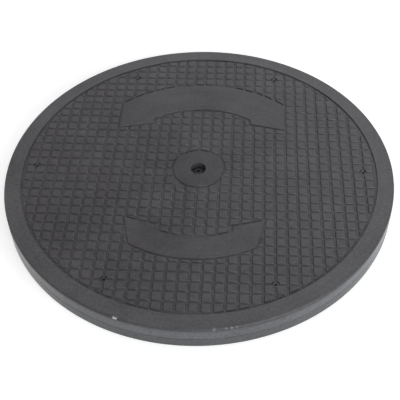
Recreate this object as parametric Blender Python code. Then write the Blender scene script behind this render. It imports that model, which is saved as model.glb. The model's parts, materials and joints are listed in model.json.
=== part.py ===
"""A rigid swivel disc: two moulded halves that turn on a caged ring of balls.

The lower half stands on rubber feet. The upper half, which a person sits or stands on,
turns on 24 steel balls between two grooved races, and six plastic shoes keep its rim from
dipping. A screw in the middle holds the halves together: it clamps a sleeve to the lower
half, and the upper half's hub turns round that sleeve.

Metres, +Z up. The origin is on the turning axis, on the floor. X and Y run along the
grooves of the tread.
"""

import math

import bmesh
import bpy
from mathutils import Matrix

MM = 0.001

# Fineness of the round shapes
RING_SEGMENTS = 60
BOSS_SEGMENTS = 16
SMALL_SEGMENTS = 10
ARC_STEPS = 3
SHARP_ANGLE = math.radians(30)
MERGE_DISTANCE = 0.001 * MM
SMALLEST_SHARE = 0.15

# Clearances
FIT_GAP = 0.3 * MM
BALL_GAP = 0.3 * MM
SEAM_GAP = 0.6 * MM
SHOE_GAP = 0.5 * MM
LABYRINTH_GAP = 1.6 * MM

# Outline of both halves
PLATE_RADIUS = 200 * MM
SIDE_DRAFT = 0.7 * MM
TOP_EDGE_RADIUS = 2.0 * MM
BOTTOM_EDGE_RADIUS = 1.0 * MM

# Upper half
TOP_THICKNESS = 3.0 * MM
TREAD_DEPTH = 1.2 * MM
TREAD_PITCH = 11.28 * MM
TREAD_GROOVE = 2.6 * MM
TREAD_MARGIN = 2.4 * MM
RIM_WIDTH = 16.9 * MM
SKIRT_THICKNESS = 3.0 * MM
TOP_RIB_DEPTH = 3.3 * MM

# Hub of the upper half
HUB_RADIUS = 25.9 * MM
COUNTERBORE_RADIUS = 8.3 * MM
COUNTERBORE_DEPTH = 9.3 * MM
HUB_FLOOR = 3.0 * MM
HUB_WALL = 3.7 * MM

# Crescent pads of the upper half, which bear the feet or the seat
CRESCENT_INNER_RADIUS = 93.4 * MM
FAR_OUTER_RADIUS = 134.6 * MM
FAR_CORNER = 89.7 * MM
FAR_TIP = (89.7 * MM, 61.9 * MM)
FAR_STEP = (53.0 * MM, 70.5 * MM)
NEAR_OUTER_RADIUS = 119.5 * MM
NEAR_CORNER = 61.0 * MM
NEAR_TIP = (69.3 * MM, 70.0 * MM)
NEAR_STEP = (38.5 * MM, 78.7 * MM)

# Lower half
BASE_FLOOR = 3.0 * MM
BASE_WALL_HEIGHT = 10.2 * MM
BASE_WALL_THICKNESS = 2.8 * MM
BASE_RIB_HEIGHT = 2.0 * MM
DUST_LIP_THICKNESS = 2.0 * MM
DUST_LIP_OVERLAP = 3.2 * MM
POST_RADIUS = 12.0 * MM
POST_CAP = 2.8 * MM

# Ribs, the same in both halves
RIB_COUNT = 12
RIB_THICKNESS = 2.0 * MM
RIB_BITE = 1.0 * MM

# Ball bearing
BALL_COUNT = 24
BALL_RADIUS = 4.0 * MM
BALL_CIRCLE_RADIUS = 120 * MM
RACE_HALF_WIDTH = 8.3 * MM
RACE_SHOULDER = 2.8 * MM
RACE_BACK = 1.0 * MM
SEAT_HEIGHT = 3.3 * MM
SEAT_LIP_THICKNESS = 2.4 * MM
SEAT_LIP_HEIGHT = 1.3 * MM
CAGE_HALF_WIDTH = 9.0 * MM
CAGE_THICKNESS = 2.4 * MM

# Screw in the middle, and what it clamps
SCREW_RADIUS = 3.0 * MM
SCREW_HEAD_RADIUS = 5.25 * MM
SCREW_HEAD_HEIGHT = 3.3 * MM
SCREW_HEAD_ROUND = 1.8 * MM
SOCKET_ACROSS_FLATS = 4.0 * MM
SOCKET_DEPTH = 2.0 * MM
SCREW_END_PROUD = 0.2 * MM
SLEEVE_WALL = 2.4 * MM
THRUST_WASHER_RADIUS = 11.5 * MM
THRUST_WASHER_THICKNESS = 1.3 * MM
RETAINING_WASHER_RADIUS = 7.7 * MM
RETAINING_WASHER_THICKNESS = 1.3 * MM
NUT_ACROSS_FLATS = 10.0 * MM
NUT_HEIGHT = 6.0 * MM

# Glide shoes and the small screws that hold them
SHOE_COUNT = 6
SHOE_INSET = 31 * MM
SHOE_RADIUS = 9.0 * MM
SHOE_THICKNESS = 5.2 * MM
SHOE_STEM_RADIUS = 3.2 * MM
SHOE_SCREW_GRIP = 8.0 * MM
SHOE_SCREW_ROOM = 2.4 * MM
SHOE_BOSS_WALL = 2.5 * MM
TRACK_HEIGHT = 2.0 * MM
TRACK_MARGIN = 2.0 * MM
SMALL_SCREW_RADIUS = 1.75 * MM
SMALL_SCREW_LENGTH = 12.0 * MM
SMALL_HEAD_RADIUS = 3.4 * MM
SMALL_HEAD_HEIGHT = 1.3 * MM
SMALL_HEAD_ROUND = 0.8 * MM
SMALL_RECESS_RADIUS = 4.0 * MM
CROSS_WIDTH = 0.9 * MM
CROSS_LENGTH = 3.4 * MM
CROSS_DEPTH = 0.8 * MM

# Rubber feet
FOOT_COUNT = 8
FOOT_RADIUS = 11.0 * MM
FOOT_INSET = 22 * MM
FOOT_PROUD = 1.0 * MM
FOOT_RECESS = 2.0 * MM
FOOT_CHAMFER = 0.5 * MM

# Heights worked out from the floor up
BASE_BOTTOM = FOOT_PROUD
BASE_FLOOR_TOP = BASE_BOTTOM + BASE_FLOOR
LOWER_SEAT = BASE_FLOOR_TOP + SEAT_HEIGHT
GROOVE_RADIUS = BALL_RADIUS + BALL_GAP
RACE_REACH = GROOVE_RADIUS + RACE_BACK
BALL_HEIGHT = LOWER_SEAT + FIT_GAP + RACE_REACH
UPPER_SEAT = BALL_HEIGHT + RACE_REACH + FIT_GAP
TOP_UNDERSIDE = UPPER_SEAT + SEAT_HEIGHT
TREAD_FLOOR = TOP_UNDERSIDE + TOP_THICKNESS
TOP_FACE = TREAD_FLOOR + TREAD_DEPTH
BASE_WALL_TOP = BASE_BOTTOM + BASE_WALL_HEIGHT
SKIRT_BOTTOM = BASE_WALL_TOP + SEAM_GAP
TRACK_TOP = BASE_FLOOR_TOP + TRACK_HEIGHT

# Heights in the middle, worked out from the top down
HUB_FLOOR_TOP = TOP_FACE - COUNTERBORE_DEPTH
HUB_BOTTOM = HUB_FLOOR_TOP - HUB_FLOOR
THRUST_WASHER_TOP = HUB_BOTTOM - FIT_GAP
POST_TOP = THRUST_WASHER_TOP - THRUST_WASHER_THICKNESS - FIT_GAP
RETAINING_WASHER_BOTTOM = HUB_FLOOR_TOP + FIT_GAP
SCREW_SEAT = RETAINING_WASHER_BOTTOM + RETAINING_WASHER_THICKNESS + FIT_GAP
NUT_TOP = POST_TOP - POST_CAP - FIT_GAP
NUT_BOTTOM = NUT_TOP - NUT_HEIGHT

# Radii worked out from the middle out
SCREW_HOLE_RADIUS = SCREW_RADIUS + FIT_GAP
SLEEVE_INNER_RADIUS = SCREW_HOLE_RADIUS
SLEEVE_OUTER_RADIUS = SLEEVE_INNER_RADIUS + SLEEVE_WALL
HUB_BORE_RADIUS = SLEEVE_OUTER_RADIUS + FIT_GAP
HUB_BOSS_RADIUS = COUNTERBORE_RADIUS + HUB_WALL
CHANNEL_INNER_RADIUS = BALL_CIRCLE_RADIUS - RACE_HALF_WIDTH - FIT_GAP
CHANNEL_OUTER_RADIUS = BALL_CIRCLE_RADIUS + RACE_HALF_WIDTH + FIT_GAP
SEAT_INNER_RADIUS = CHANNEL_INNER_RADIUS - SEAT_LIP_THICKNESS
SEAT_OUTER_RADIUS = CHANNEL_OUTER_RADIUS + SEAT_LIP_THICKNESS
FOOT_CIRCLE_RADIUS = PLATE_RADIUS - FOOT_INSET
RIM_INNER_RADIUS = PLATE_RADIUS - RIM_WIDTH
TREAD_INNER_RADIUS = HUB_RADIUS + TREAD_MARGIN
TREAD_OUTER_RADIUS = RIM_INNER_RADIUS - TREAD_MARGIN
SKIRT_INNER_RADIUS = PLATE_RADIUS - SKIRT_THICKNESS
DUST_LIP_OUTER_RADIUS = SKIRT_INNER_RADIUS - LABYRINTH_GAP
DUST_LIP_INNER_RADIUS = DUST_LIP_OUTER_RADIUS - DUST_LIP_THICKNESS

# Glide shoes: each lies at the crossing of the tread's grooves nearest to their circle
SHOE_CROSSINGS = [
    [round((PLATE_RADIUS - SHOE_INSET) * part / TREAD_PITCH) for part in (math.cos(a), math.sin(a))]
    for a in [math.tau * i / SHOE_COUNT for i in range(SHOE_COUNT)]
]
SHOE_PLACES = [(u * TREAD_PITCH, v * TREAD_PITCH) for u, v in SHOE_CROSSINGS]
TRACK_INNER_RADIUS = min(math.hypot(x, y) for x, y in SHOE_PLACES) - SHOE_RADIUS - TRACK_MARGIN
TRACK_OUTER_RADIUS = max(math.hypot(x, y) for x, y in SHOE_PLACES) + SHOE_RADIUS + TRACK_MARGIN

# Glide shoe heights: the shoe from the track up, its screw and stem from the tread down
SHOE_BOTTOM = TRACK_TOP + SHOE_GAP
SHOE_TOP = SHOE_BOTTOM + SHOE_THICKNESS
SHOE_BOSS_BOTTOM = SHOE_TOP + FIT_GAP
SMALL_HEAD_SEAT = TREAD_FLOOR - SMALL_HEAD_HEIGHT
SMALL_SCREW_TIP = SMALL_HEAD_SEAT - SMALL_SCREW_LENGTH
STEM_TOP = SMALL_HEAD_SEAT - SHOE_SCREW_GRIP
SHOE_BORE_FLOOR = SMALL_SCREW_TIP - SHOE_SCREW_ROOM
SMALL_SCREW_HOLE_RADIUS = SMALL_SCREW_RADIUS + FIT_GAP
SHOE_BOSS_BORE_RADIUS = SHOE_STEM_RADIUS + FIT_GAP
SHOE_BOSS_RADIUS = SHOE_BOSS_BORE_RADIUS + SHOE_BOSS_WALL


def clear_scene():
    for obj in list(bpy.data.objects):
        bpy.data.objects.remove(obj, do_unlink=True)


def finish(name, colour, roughness, metallic=0.0):
    """A plain material, with its colour in linear light."""
    material = bpy.data.materials.new(name)
    material.use_nodes = True
    shader = material.node_tree.nodes["Principled BSDF"]
    shader.inputs["Base Color"].default_value = (*colour, 1.0)
    shader.inputs["Roughness"].default_value = roughness
    shader.inputs["Metallic"].default_value = metallic
    return material


def pivot(name, height):
    """An empty on the turning axis, which carries what turns together."""
    empty = bpy.data.objects.new(name, None)
    empty.location = (0, 0, height)
    bpy.context.collection.objects.link(empty)
    return empty


def add_piece(name, bm, material, parent=None, place=(0, 0, 0)):
    """Turns a bmesh into a named object at its place in the world."""
    bmesh.ops.recalc_face_normals(bm, faces=bm.faces)
    mesh = bpy.data.meshes.new(name)
    bm.to_mesh(mesh)
    bm.free()
    mesh.shade_smooth()
    mesh.set_sharp_from_angle(angle=SHARP_ANGLE)
    mesh.materials.append(material)
    return place_piece(name, mesh, parent, place)


def place_piece(name, mesh, parent=None, place=(0, 0, 0)):
    obj = bpy.data.objects.new(name, mesh)
    bpy.context.collection.objects.link(obj)
    obj.location = place
    if parent:
        obj.parent = parent
        obj.location = [a - b for a, b in zip(place, parent.location)]
    return obj


def add_tool(name, bm, parent=None):
    """A helper solid, which a Boolean adds to a piece or cuts from it."""
    bmesh.ops.recalc_face_normals(bm, faces=bm.faces)
    mesh = bpy.data.meshes.new(name)
    bm.to_mesh(mesh)
    bm.free()
    obj = place_piece(name, mesh, parent)
    obj.hide_render = True
    obj.display_type = "WIRE"
    return obj


def boolean(piece, tool, operation):
    modifier = piece.modifiers.new(tool.name, "BOOLEAN")
    modifier.object = tool
    modifier.operation = operation


def turn(bm, profile, segments, centre=(0, 0)):
    """Spins a (radius, height) outline round a vertical axis.

    An outline that starts and ends on the axis makes a solid. Any other closes on itself.
    """
    x, y = centre
    points = [bm.verts.new((x + radius, y, height)) for radius, height in profile]
    edges = [bm.edges.new(pair) for pair in zip(points, points[1:])]
    if profile[0][0] > 0:
        edges.append(bm.edges.new((points[-1], points[0])))
    before = set(bm.verts) - set(points)
    bmesh.ops.spin(
        bm,
        geom=points + edges,
        cent=(x, y, 0),
        axis=(0, 0, 1),
        angle=math.tau,
        steps=segments,
        use_merge=True,
    )
    spun = [vert for vert in bm.verts if vert not in before]
    bmesh.ops.remove_doubles(bm, verts=spun, dist=MERGE_DISTANCE)


def turned(profile, segments=RING_SEGMENTS):
    bm = bmesh.new()
    turn(bm, profile, segments)
    return bm


def cylinder(bm, radius, low, high, centre=(0, 0), segments=BOSS_SEGMENTS):
    x, y = centre
    bmesh.ops.create_cone(
        bm,
        cap_ends=True,
        segments=segments,
        radius1=radius,
        radius2=radius,
        depth=high - low,
        matrix=Matrix.Translation((x, y, (low + high) / 2)),
    )


def prism(bm, outline, low, high):
    """Extrudes a flat outline upwards."""
    base = bm.faces.new([bm.verts.new((x, y, low)) for x, y in outline])
    grown = bmesh.ops.extrude_face_region(bm, geom=[base])
    raised = [item for item in grown["geom"] if isinstance(item, bmesh.types.BMVert)]
    bmesh.ops.translate(bm, verts=raised, vec=(0, 0, high - low))


def arc(centre, radius, start, end, steps=ARC_STEPS):
    """Points of an arc in degrees, ends included."""
    x, y = centre
    angles = [math.radians(start + (end - start) * i / steps) for i in range(steps + 1)]
    return [(x + radius * math.cos(a), y + radius * math.sin(a)) for a in angles]


def polygon(across_flats, sides=6):
    """Corners of a regular polygon."""
    radius = across_flats / 2 / math.cos(math.pi / sides)
    corners = [math.tau * i / sides for i in range(sides)]
    return [(radius * math.cos(a), radius * math.sin(a)) for a in corners]


def round_places(count, radius, first=0.0):
    """Evenly spaced places on a circle."""
    angles = [math.radians(first) + math.tau * i / count for i in range(count)]
    return [(radius * math.cos(a), radius * math.sin(a)) for a in angles]


def radial_ribs(bm, inner, outer, low, high):
    """Ribs halfway between the shoes, which bite into the rings at both ends."""
    start = inner - RIB_BITE
    length = outer + RIB_BITE - start
    size = Matrix.Diagonal((length, RIB_THICKNESS, high - low, 1))
    shift = Matrix.Translation((start + length / 2, 0, (low + high) / 2))
    for i in range(RIB_COUNT):
        angle = math.tau * (i + 0.5) / RIB_COUNT
        turned_round = Matrix.Rotation(angle, 4, "Z")
        bmesh.ops.create_cube(bm, size=1.0, matrix=turned_round @ shift @ size)


def seat_ring(seat, sign):
    """Outline of the channel that holds a race, from its outer foot to its inner foot."""
    lip = seat + sign * SEAT_LIP_HEIGHT
    foot = seat - sign * SEAT_HEIGHT
    return [
        (SEAT_OUTER_RADIUS, foot),
        (SEAT_OUTER_RADIUS, lip),
        (CHANNEL_OUTER_RADIUS, lip),
        (CHANNEL_OUTER_RADIUS, seat),
        (CHANNEL_INNER_RADIUS, seat),
        (CHANNEL_INNER_RADIUS, lip),
        (SEAT_INNER_RADIUS, lip),
        (SEAT_INNER_RADIUS, foot),
    ]


def crescent(outer_radius, corner, tip, step, margin=0):
    """Outline of a crescent pad: an outer arc, a short wing at each end and an inner arc.

    A margin makes it wider all round.
    """
    outer_radius, inner_radius = outer_radius + margin, CRESCENT_INNER_RADIUS - margin
    corner, tip = corner + margin, (tip[0] + margin, tip[1] - margin)
    step = (step[0] - margin, step[1] - margin)
    outer_end = math.degrees(math.acos(corner / outer_radius))
    inner_end = math.degrees(math.acos(step[0] / inner_radius))
    outer = arc((0, 0), outer_radius, outer_end, 180 - outer_end, 3 * ARC_STEPS)
    inner = arc((0, 0), inner_radius, 180 - inner_end, inner_end, 3 * ARC_STEPS)
    left = [(-tip[0], tip[1]), (-step[0], step[1])]
    right = [(step[0], step[1]), (tip[0], tip[1])]
    return outer + left + inner + right


def make_top_plate(parent):
    edge = arc(
        (PLATE_RADIUS - SIDE_DRAFT - TOP_EDGE_RADIUS, TOP_FACE - TOP_EDGE_RADIUS),
        TOP_EDGE_RADIUS,
        90,
        0,
    )
    profile = [
        (HUB_BORE_RADIUS, HUB_FLOOR_TOP),
        (COUNTERBORE_RADIUS, HUB_FLOOR_TOP),
        (COUNTERBORE_RADIUS, TOP_FACE),
        (HUB_RADIUS, TOP_FACE),
        (HUB_RADIUS, TREAD_FLOOR),
        (RIM_INNER_RADIUS, TREAD_FLOOR),
        (RIM_INNER_RADIUS, TOP_FACE),
        *edge,
        (PLATE_RADIUS, SKIRT_BOTTOM),
        (SKIRT_INNER_RADIUS, SKIRT_BOTTOM),
        (SKIRT_INNER_RADIUS, TOP_UNDERSIDE),
        *seat_ring(UPPER_SEAT, -1),
        (HUB_BOSS_RADIUS, TOP_UNDERSIDE),
        (HUB_BOSS_RADIUS, HUB_BOTTOM),
        (HUB_BORE_RADIUS, HUB_BOTTOM),
    ]
    plastic = finish("moulded_top_plastic", (0.064, 0.060, 0.065), 0.4)
    body = turned(profile)
    join_tread_floor(body)
    plate = add_piece("top_plate", body, plastic, parent)
    boolean(plate, crescents("crescent_pads", 0, TREAD_FLOOR - RIB_BITE, TOP_FACE, parent), "UNION")
    boolean(plate, tread_blocks(parent), "UNION")
    boolean(plate, top_framework(parent), "UNION")
    boolean(plate, shoe_screw_holes(parent), "DIFFERENCE")


def join_tread_floor(bm):
    """Leaves the tread's floor as two half rings, so that its blocks aren't cut up by spokes."""
    spokes = []
    for edge in bm.edges:
        level = all(abs(vert.co.z - TREAD_FLOOR) < MERGE_DISTANCE for vert in edge.verts)
        across = all(abs(vert.co.y) < MERGE_DISTANCE for vert in edge.verts)
        if level and not across and edge.calc_length() > RIM_INNER_RADIUS - HUB_RADIUS - RIB_BITE:
            spokes.append(edge)
    bmesh.ops.dissolve_edges(bm, edges=spokes)


def crescent_outlines(margin):
    far = crescent(FAR_OUTER_RADIUS, FAR_CORNER, FAR_TIP, FAR_STEP, margin)
    near = crescent(NEAR_OUTER_RADIUS, NEAR_CORNER, NEAR_TIP, NEAR_STEP, margin)
    return far, [(-x, -y) for x, y in near]


def crescents(name, margin, low, high, parent):
    bm = bmesh.new()
    for outline in crescent_outlines(margin):
        prism(bm, outline, low, high)
    return add_tool(name, bm, parent)


def inside(x, y, outline):
    """Whether a point lies in a flat outline, by counting the sides to its right."""
    odd = False
    for (x1, y1), (x2, y2) in zip(outline, outline[1:] + outline[:1]):
        if (y1 > y) != (y2 > y) and x < x1 + (y - y1) * (x2 - x1) / (y2 - y1):
            odd = not odd
    return odd


def share_in_tread(x1, x2, y1, y2, outlines, steps=5):
    """The share of a block that lies between hub and rim and outside the crescents."""
    kept = 0
    for i in range(steps):
        for j in range(steps):
            x = x1 + (x2 - x1) * (i + 0.5) / steps
            y = y1 + (y2 - y1) * (j + 0.5) / steps
            clear = TREAD_INNER_RADIUS < math.hypot(x, y) < TREAD_OUTER_RADIUS
            kept += clear and not any(inside(x, y, outline) for outline in outlines)
    return kept / steps**2


def tread_blocks(parent):
    """Raised blocks between two of every three grooves of the real tread.

    The real one is cut by every groove, into pads one pitch apart. Here each block is one or
    two pads wide, which keeps the faces few, and every groove lies where a real one does.
    """
    reach = math.ceil(TREAD_OUTER_RADIUS / TREAD_PITCH) + 2
    lines = [k * TREAD_PITCH for k in range(-reach, reach + 1) if abs(k) % 3 != 1]
    spans = [(a + TREAD_GROOVE / 2, b - TREAD_GROOVE / 2) for a, b in zip(lines, lines[1:])]
    low, high = TREAD_FLOOR - RIB_BITE, TOP_FACE
    outlines = crescent_outlines(TREAD_MARGIN)
    bm = bmesh.new()
    for x1, x2 in spans:
        for y1, y2 in spans:
            if share_in_tread(x1, x2, y1, y2, outlines) < SMALLEST_SHARE:
                continue
            size = Matrix.Diagonal((x2 - x1, y2 - y1, high - low, 1))
            centre = Matrix.Translation(((x1 + x2) / 2, (y1 + y2) / 2, (low + high) / 2))
            bmesh.ops.create_cube(bm, size=1.0, matrix=centre @ size)
    blocks = add_tool("tread_blocks", bm, parent)
    below, above = low - RIB_BITE, high + RIB_BITE
    ring = ring_profile(TREAD_INNER_RADIUS, TREAD_OUTER_RADIUS, below, above)
    area = add_tool("tread_area", turned(ring), parent)
    room = crescents("crescent_room", TREAD_MARGIN, below - RIB_BITE, above + RIB_BITE, parent)
    boolean(area, room, "DIFFERENCE")
    boolean(blocks, area, "INTERSECT")
    return blocks


def top_framework(parent):
    """Ribs under the upper half, and a boss over each glide shoe."""
    bm = bmesh.new()
    low, high = TOP_UNDERSIDE - TOP_RIB_DEPTH, TOP_UNDERSIDE + RIB_BITE
    radial_ribs(bm, HUB_BOSS_RADIUS, SEAT_INNER_RADIUS, low, high)
    radial_ribs(bm, SEAT_OUTER_RADIUS, SKIRT_INNER_RADIUS, low, high)
    for place in SHOE_PLACES:
        cylinder(bm, SHOE_BOSS_RADIUS, SHOE_BOSS_BOTTOM, high, place)
    return add_tool("top_framework", bm, parent)


def shoe_screw_holes(parent):
    """For each small screw: a recess for its head, a hole, and a bore for the shoe's stem."""
    bm = bmesh.new()
    profile = [
        (0, TOP_FACE + RIB_BITE),
        (SMALL_RECESS_RADIUS, TOP_FACE + RIB_BITE),
        (SMALL_RECESS_RADIUS, SMALL_HEAD_SEAT - FIT_GAP),
        (SMALL_SCREW_HOLE_RADIUS, SMALL_HEAD_SEAT - FIT_GAP),
        (SMALL_SCREW_HOLE_RADIUS, STEM_TOP + FIT_GAP),
        (SHOE_BOSS_BORE_RADIUS, STEM_TOP + FIT_GAP),
        (SHOE_BOSS_BORE_RADIUS, SHOE_BOSS_BOTTOM - RIB_BITE),
        (0, SHOE_BOSS_BOTTOM - RIB_BITE),
    ]
    for place in SHOE_PLACES:
        turn(bm, profile, BOSS_SEGMENTS, place)
    return add_tool("shoe_screw_holes", bm, parent)


def make_base_plate():
    edge = arc(
        (PLATE_RADIUS - SIDE_DRAFT - BOTTOM_EDGE_RADIUS, BASE_BOTTOM + BOTTOM_EDGE_RADIUS),
        BOTTOM_EDGE_RADIUS,
        0,
        -90,
    )
    profile = [
        (SCREW_HOLE_RADIUS, BASE_BOTTOM),
        (SCREW_HOLE_RADIUS, POST_TOP),
        (POST_RADIUS, POST_TOP),
        (POST_RADIUS, BASE_FLOOR_TOP),
        *reversed(seat_ring(LOWER_SEAT, 1)),
        (TRACK_INNER_RADIUS, BASE_FLOOR_TOP),
        (TRACK_INNER_RADIUS, TRACK_TOP),
        (TRACK_OUTER_RADIUS, TRACK_TOP),
        (TRACK_OUTER_RADIUS, BASE_FLOOR_TOP),
        (DUST_LIP_INNER_RADIUS, BASE_FLOOR_TOP),
        (DUST_LIP_INNER_RADIUS, SKIRT_BOTTOM + DUST_LIP_OVERLAP),
        (DUST_LIP_OUTER_RADIUS, SKIRT_BOTTOM + DUST_LIP_OVERLAP),
        (DUST_LIP_OUTER_RADIUS, BASE_FLOOR_TOP),
        (PLATE_RADIUS - BASE_WALL_THICKNESS, BASE_FLOOR_TOP),
        (PLATE_RADIUS - BASE_WALL_THICKNESS, BASE_WALL_TOP),
        (PLATE_RADIUS, BASE_WALL_TOP),
        *edge,
    ]
    plastic = finish("moulded_base_plastic", (0.061, 0.062, 0.065), 0.3)
    plate = add_piece("base_plate", turned(profile), plastic)
    boolean(plate, base_ribs(), "UNION")
    boolean(plate, base_recesses(), "DIFFERENCE")


def base_ribs():
    bm = bmesh.new()
    low, high = BASE_FLOOR_TOP - RIB_BITE, BASE_FLOOR_TOP + BASE_RIB_HEIGHT
    radial_ribs(bm, POST_RADIUS, SEAT_INNER_RADIUS, low, high)
    radial_ribs(bm, SEAT_OUTER_RADIUS, TRACK_INNER_RADIUS, low, high)
    radial_ribs(bm, TRACK_OUTER_RADIUS, DUST_LIP_INNER_RADIUS, low, high)
    return add_tool("base_ribs", bm)


def base_recesses():
    """The nut's six-sided pocket and the feet's round recesses, all open downwards."""
    bm = bmesh.new()
    below = BASE_BOTTOM - RIB_BITE
    prism(bm, polygon(NUT_ACROSS_FLATS + 2 * FIT_GAP), below, NUT_TOP + FIT_GAP)
    for place in foot_places():
        cylinder(bm, FOOT_RADIUS + FIT_GAP, below, BASE_BOTTOM + FOOT_RECESS, place)
    return add_tool("base_recesses", bm)


def foot_places():
    return round_places(FOOT_COUNT, FOOT_CIRCLE_RADIUS, 180 / FOOT_COUNT)


def make_race(name, sign, parent, material):
    """A ring with a round groove: sign is 1 above the balls and -1 below them."""
    reach = math.degrees(math.asin(RACE_SHOULDER / GROOVE_RADIUS))
    groove = arc((BALL_CIRCLE_RADIUS, 0), GROOVE_RADIUS, reach, 180 - reach, 2 * ARC_STEPS)
    inner = BALL_CIRCLE_RADIUS - RACE_HALF_WIDTH
    outer = BALL_CIRCLE_RADIUS + RACE_HALF_WIDTH
    section = [
        (outer, RACE_REACH),
        (outer, RACE_SHOULDER),
        *groove,
        (inner, RACE_SHOULDER),
        (inner, RACE_REACH),
    ]
    profile = [(radius, BALL_HEIGHT + sign * height) for radius, height in section]
    add_piece(name, turned(profile), material, parent)


def make_cage(parent):
    low, high = -CAGE_THICKNESS / 2, CAGE_THICKNESS / 2
    inner = BALL_CIRCLE_RADIUS - CAGE_HALF_WIDTH
    outer = BALL_CIRCLE_RADIUS + CAGE_HALF_WIDTH
    profile = [(inner, low), (outer, low), (outer, high), (inner, high)]
    profile = [(radius, BALL_HEIGHT + height) for radius, height in profile]
    nylon = finish("cage_nylon", (0.62, 0.60, 0.54), 0.45)
    cage = add_piece("ball_cage", turned(profile), nylon, parent)
    bm = bmesh.new()
    pocket = (BALL_RADIUS + BALL_GAP) / math.cos(math.pi / SMALL_SEGMENTS)
    bottom, top = BALL_HEIGHT - CAGE_THICKNESS, BALL_HEIGHT + CAGE_THICKNESS
    for place in round_places(BALL_COUNT, BALL_CIRCLE_RADIUS):
        cylinder(bm, pocket, bottom, top, place, SMALL_SEGMENTS)
    boolean(cage, add_tool("cage_pockets", bm, parent), "DIFFERENCE")


def make_balls(parent):
    bm = bmesh.new()
    bmesh.ops.create_icosphere(bm, subdivisions=2, radius=BALL_RADIUS)
    steel = finish("ball_steel", (0.60, 0.61, 0.63), 0.15, 1.0)
    first = add_piece("ball_01", bm, steel, parent, (BALL_CIRCLE_RADIUS, 0, BALL_HEIGHT))
    first.data.shade_smooth()
    for i, (x, y) in enumerate(round_places(BALL_COUNT, BALL_CIRCLE_RADIUS)):
        if i > 0:
            place_piece(f"ball_{i + 1:02d}", first.data, parent, (x, y, BALL_HEIGHT))


def screw_profile(seat, head_radius, head_height, head_round, radius, tip):
    """Outline of a round-headed screw, from the head's crown to the tip."""
    top = seat + head_height
    crown = arc(
        (head_radius - head_round, top - head_round), head_round, 90, 0, ARC_STEPS
    )
    return [(0, top), *crown, (head_radius, seat), (radius, seat), (radius, tip), (0, tip)]


def ring_profile(inner, outer, low, high):
    return [(inner, low), (outer, low), (outer, high), (inner, high)]


def make_centre_stack():
    """The screw in the middle, the sleeve and washers that it clamps, and its nut."""
    steel = finish("centre_screw_steel", (0.10, 0.10, 0.105), 0.35, 1.0)
    profile = screw_profile(
        SCREW_SEAT,
        SCREW_HEAD_RADIUS,
        SCREW_HEAD_HEIGHT,
        SCREW_HEAD_ROUND,
        SCREW_RADIUS,
        NUT_BOTTOM - SCREW_END_PROUD,
    )
    screw = add_piece("centre_screw", turned(profile, BOSS_SEGMENTS), steel)
    bm = bmesh.new()
    head_top = SCREW_SEAT + SCREW_HEAD_HEIGHT
    prism(bm, polygon(SOCKET_ACROSS_FLATS), head_top - SOCKET_DEPTH, head_top + RIB_BITE)
    boolean(screw, add_tool("screw_socket", bm), "DIFFERENCE")

    zinc = finish("retaining_washer_zinc", (0.45, 0.45, 0.46), 0.35, 1.0)
    washer = ring_profile(
        SCREW_HOLE_RADIUS,
        RETAINING_WASHER_RADIUS,
        RETAINING_WASHER_BOTTOM,
        RETAINING_WASHER_BOTTOM + RETAINING_WASHER_THICKNESS,
    )
    add_piece("retaining_washer", turned(washer, 2 * BOSS_SEGMENTS), zinc)

    bright = finish("spacer_sleeve_steel", (0.50, 0.50, 0.52), 0.3, 1.0)
    sleeve = ring_profile(
        SLEEVE_INNER_RADIUS, SLEEVE_OUTER_RADIUS, POST_TOP + FIT_GAP, HUB_FLOOR_TOP
    )
    add_piece("spacer_sleeve", turned(sleeve, BOSS_SEGMENTS), bright)

    acetal = finish("thrust_washer_acetal", (0.70, 0.69, 0.65), 0.4)
    thrust = ring_profile(
        HUB_BORE_RADIUS,
        THRUST_WASHER_RADIUS,
        POST_TOP + FIT_GAP,
        THRUST_WASHER_TOP,
    )
    add_piece("thrust_washer", turned(thrust, 2 * BOSS_SEGMENTS), acetal)

    plated = finish("lock_nut_zinc", (0.42, 0.42, 0.43), 0.4, 1.0)
    bm = bmesh.new()
    prism(bm, polygon(NUT_ACROSS_FLATS), NUT_BOTTOM, NUT_TOP)
    nut = add_piece("lock_nut", bm, plated)
    bm = bmesh.new()
    cylinder(bm, SCREW_HOLE_RADIUS, NUT_BOTTOM - RIB_BITE, NUT_TOP + RIB_BITE)
    boolean(nut, add_tool("nut_bore", bm), "DIFFERENCE")


def make_shoes(parent):
    """Each shoe runs over the base's track, and its stem sits in a boss of the upper half."""
    acetal = finish("glide_shoe_acetal", (0.68, 0.67, 0.62), 0.4)
    profile = [
        (0, SHOE_BORE_FLOOR),
        (SMALL_SCREW_HOLE_RADIUS, SHOE_BORE_FLOOR),
        (SMALL_SCREW_HOLE_RADIUS, STEM_TOP),
        (SHOE_STEM_RADIUS, STEM_TOP),
        (SHOE_STEM_RADIUS, SHOE_TOP),
        (SHOE_RADIUS, SHOE_TOP),
        (SHOE_RADIUS, SHOE_BOTTOM),
        (0, SHOE_BOTTOM),
    ]
    first = None
    for i, (x, y) in enumerate(SHOE_PLACES, 1):
        if first is None:
            bm = turned(profile, BOSS_SEGMENTS)
            first = add_piece("glide_shoe_1", bm, acetal, parent, (x, y, 0))
        else:
            place_piece(f"glide_shoe_{i}", first.data, parent, (x, y, 0))


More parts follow.
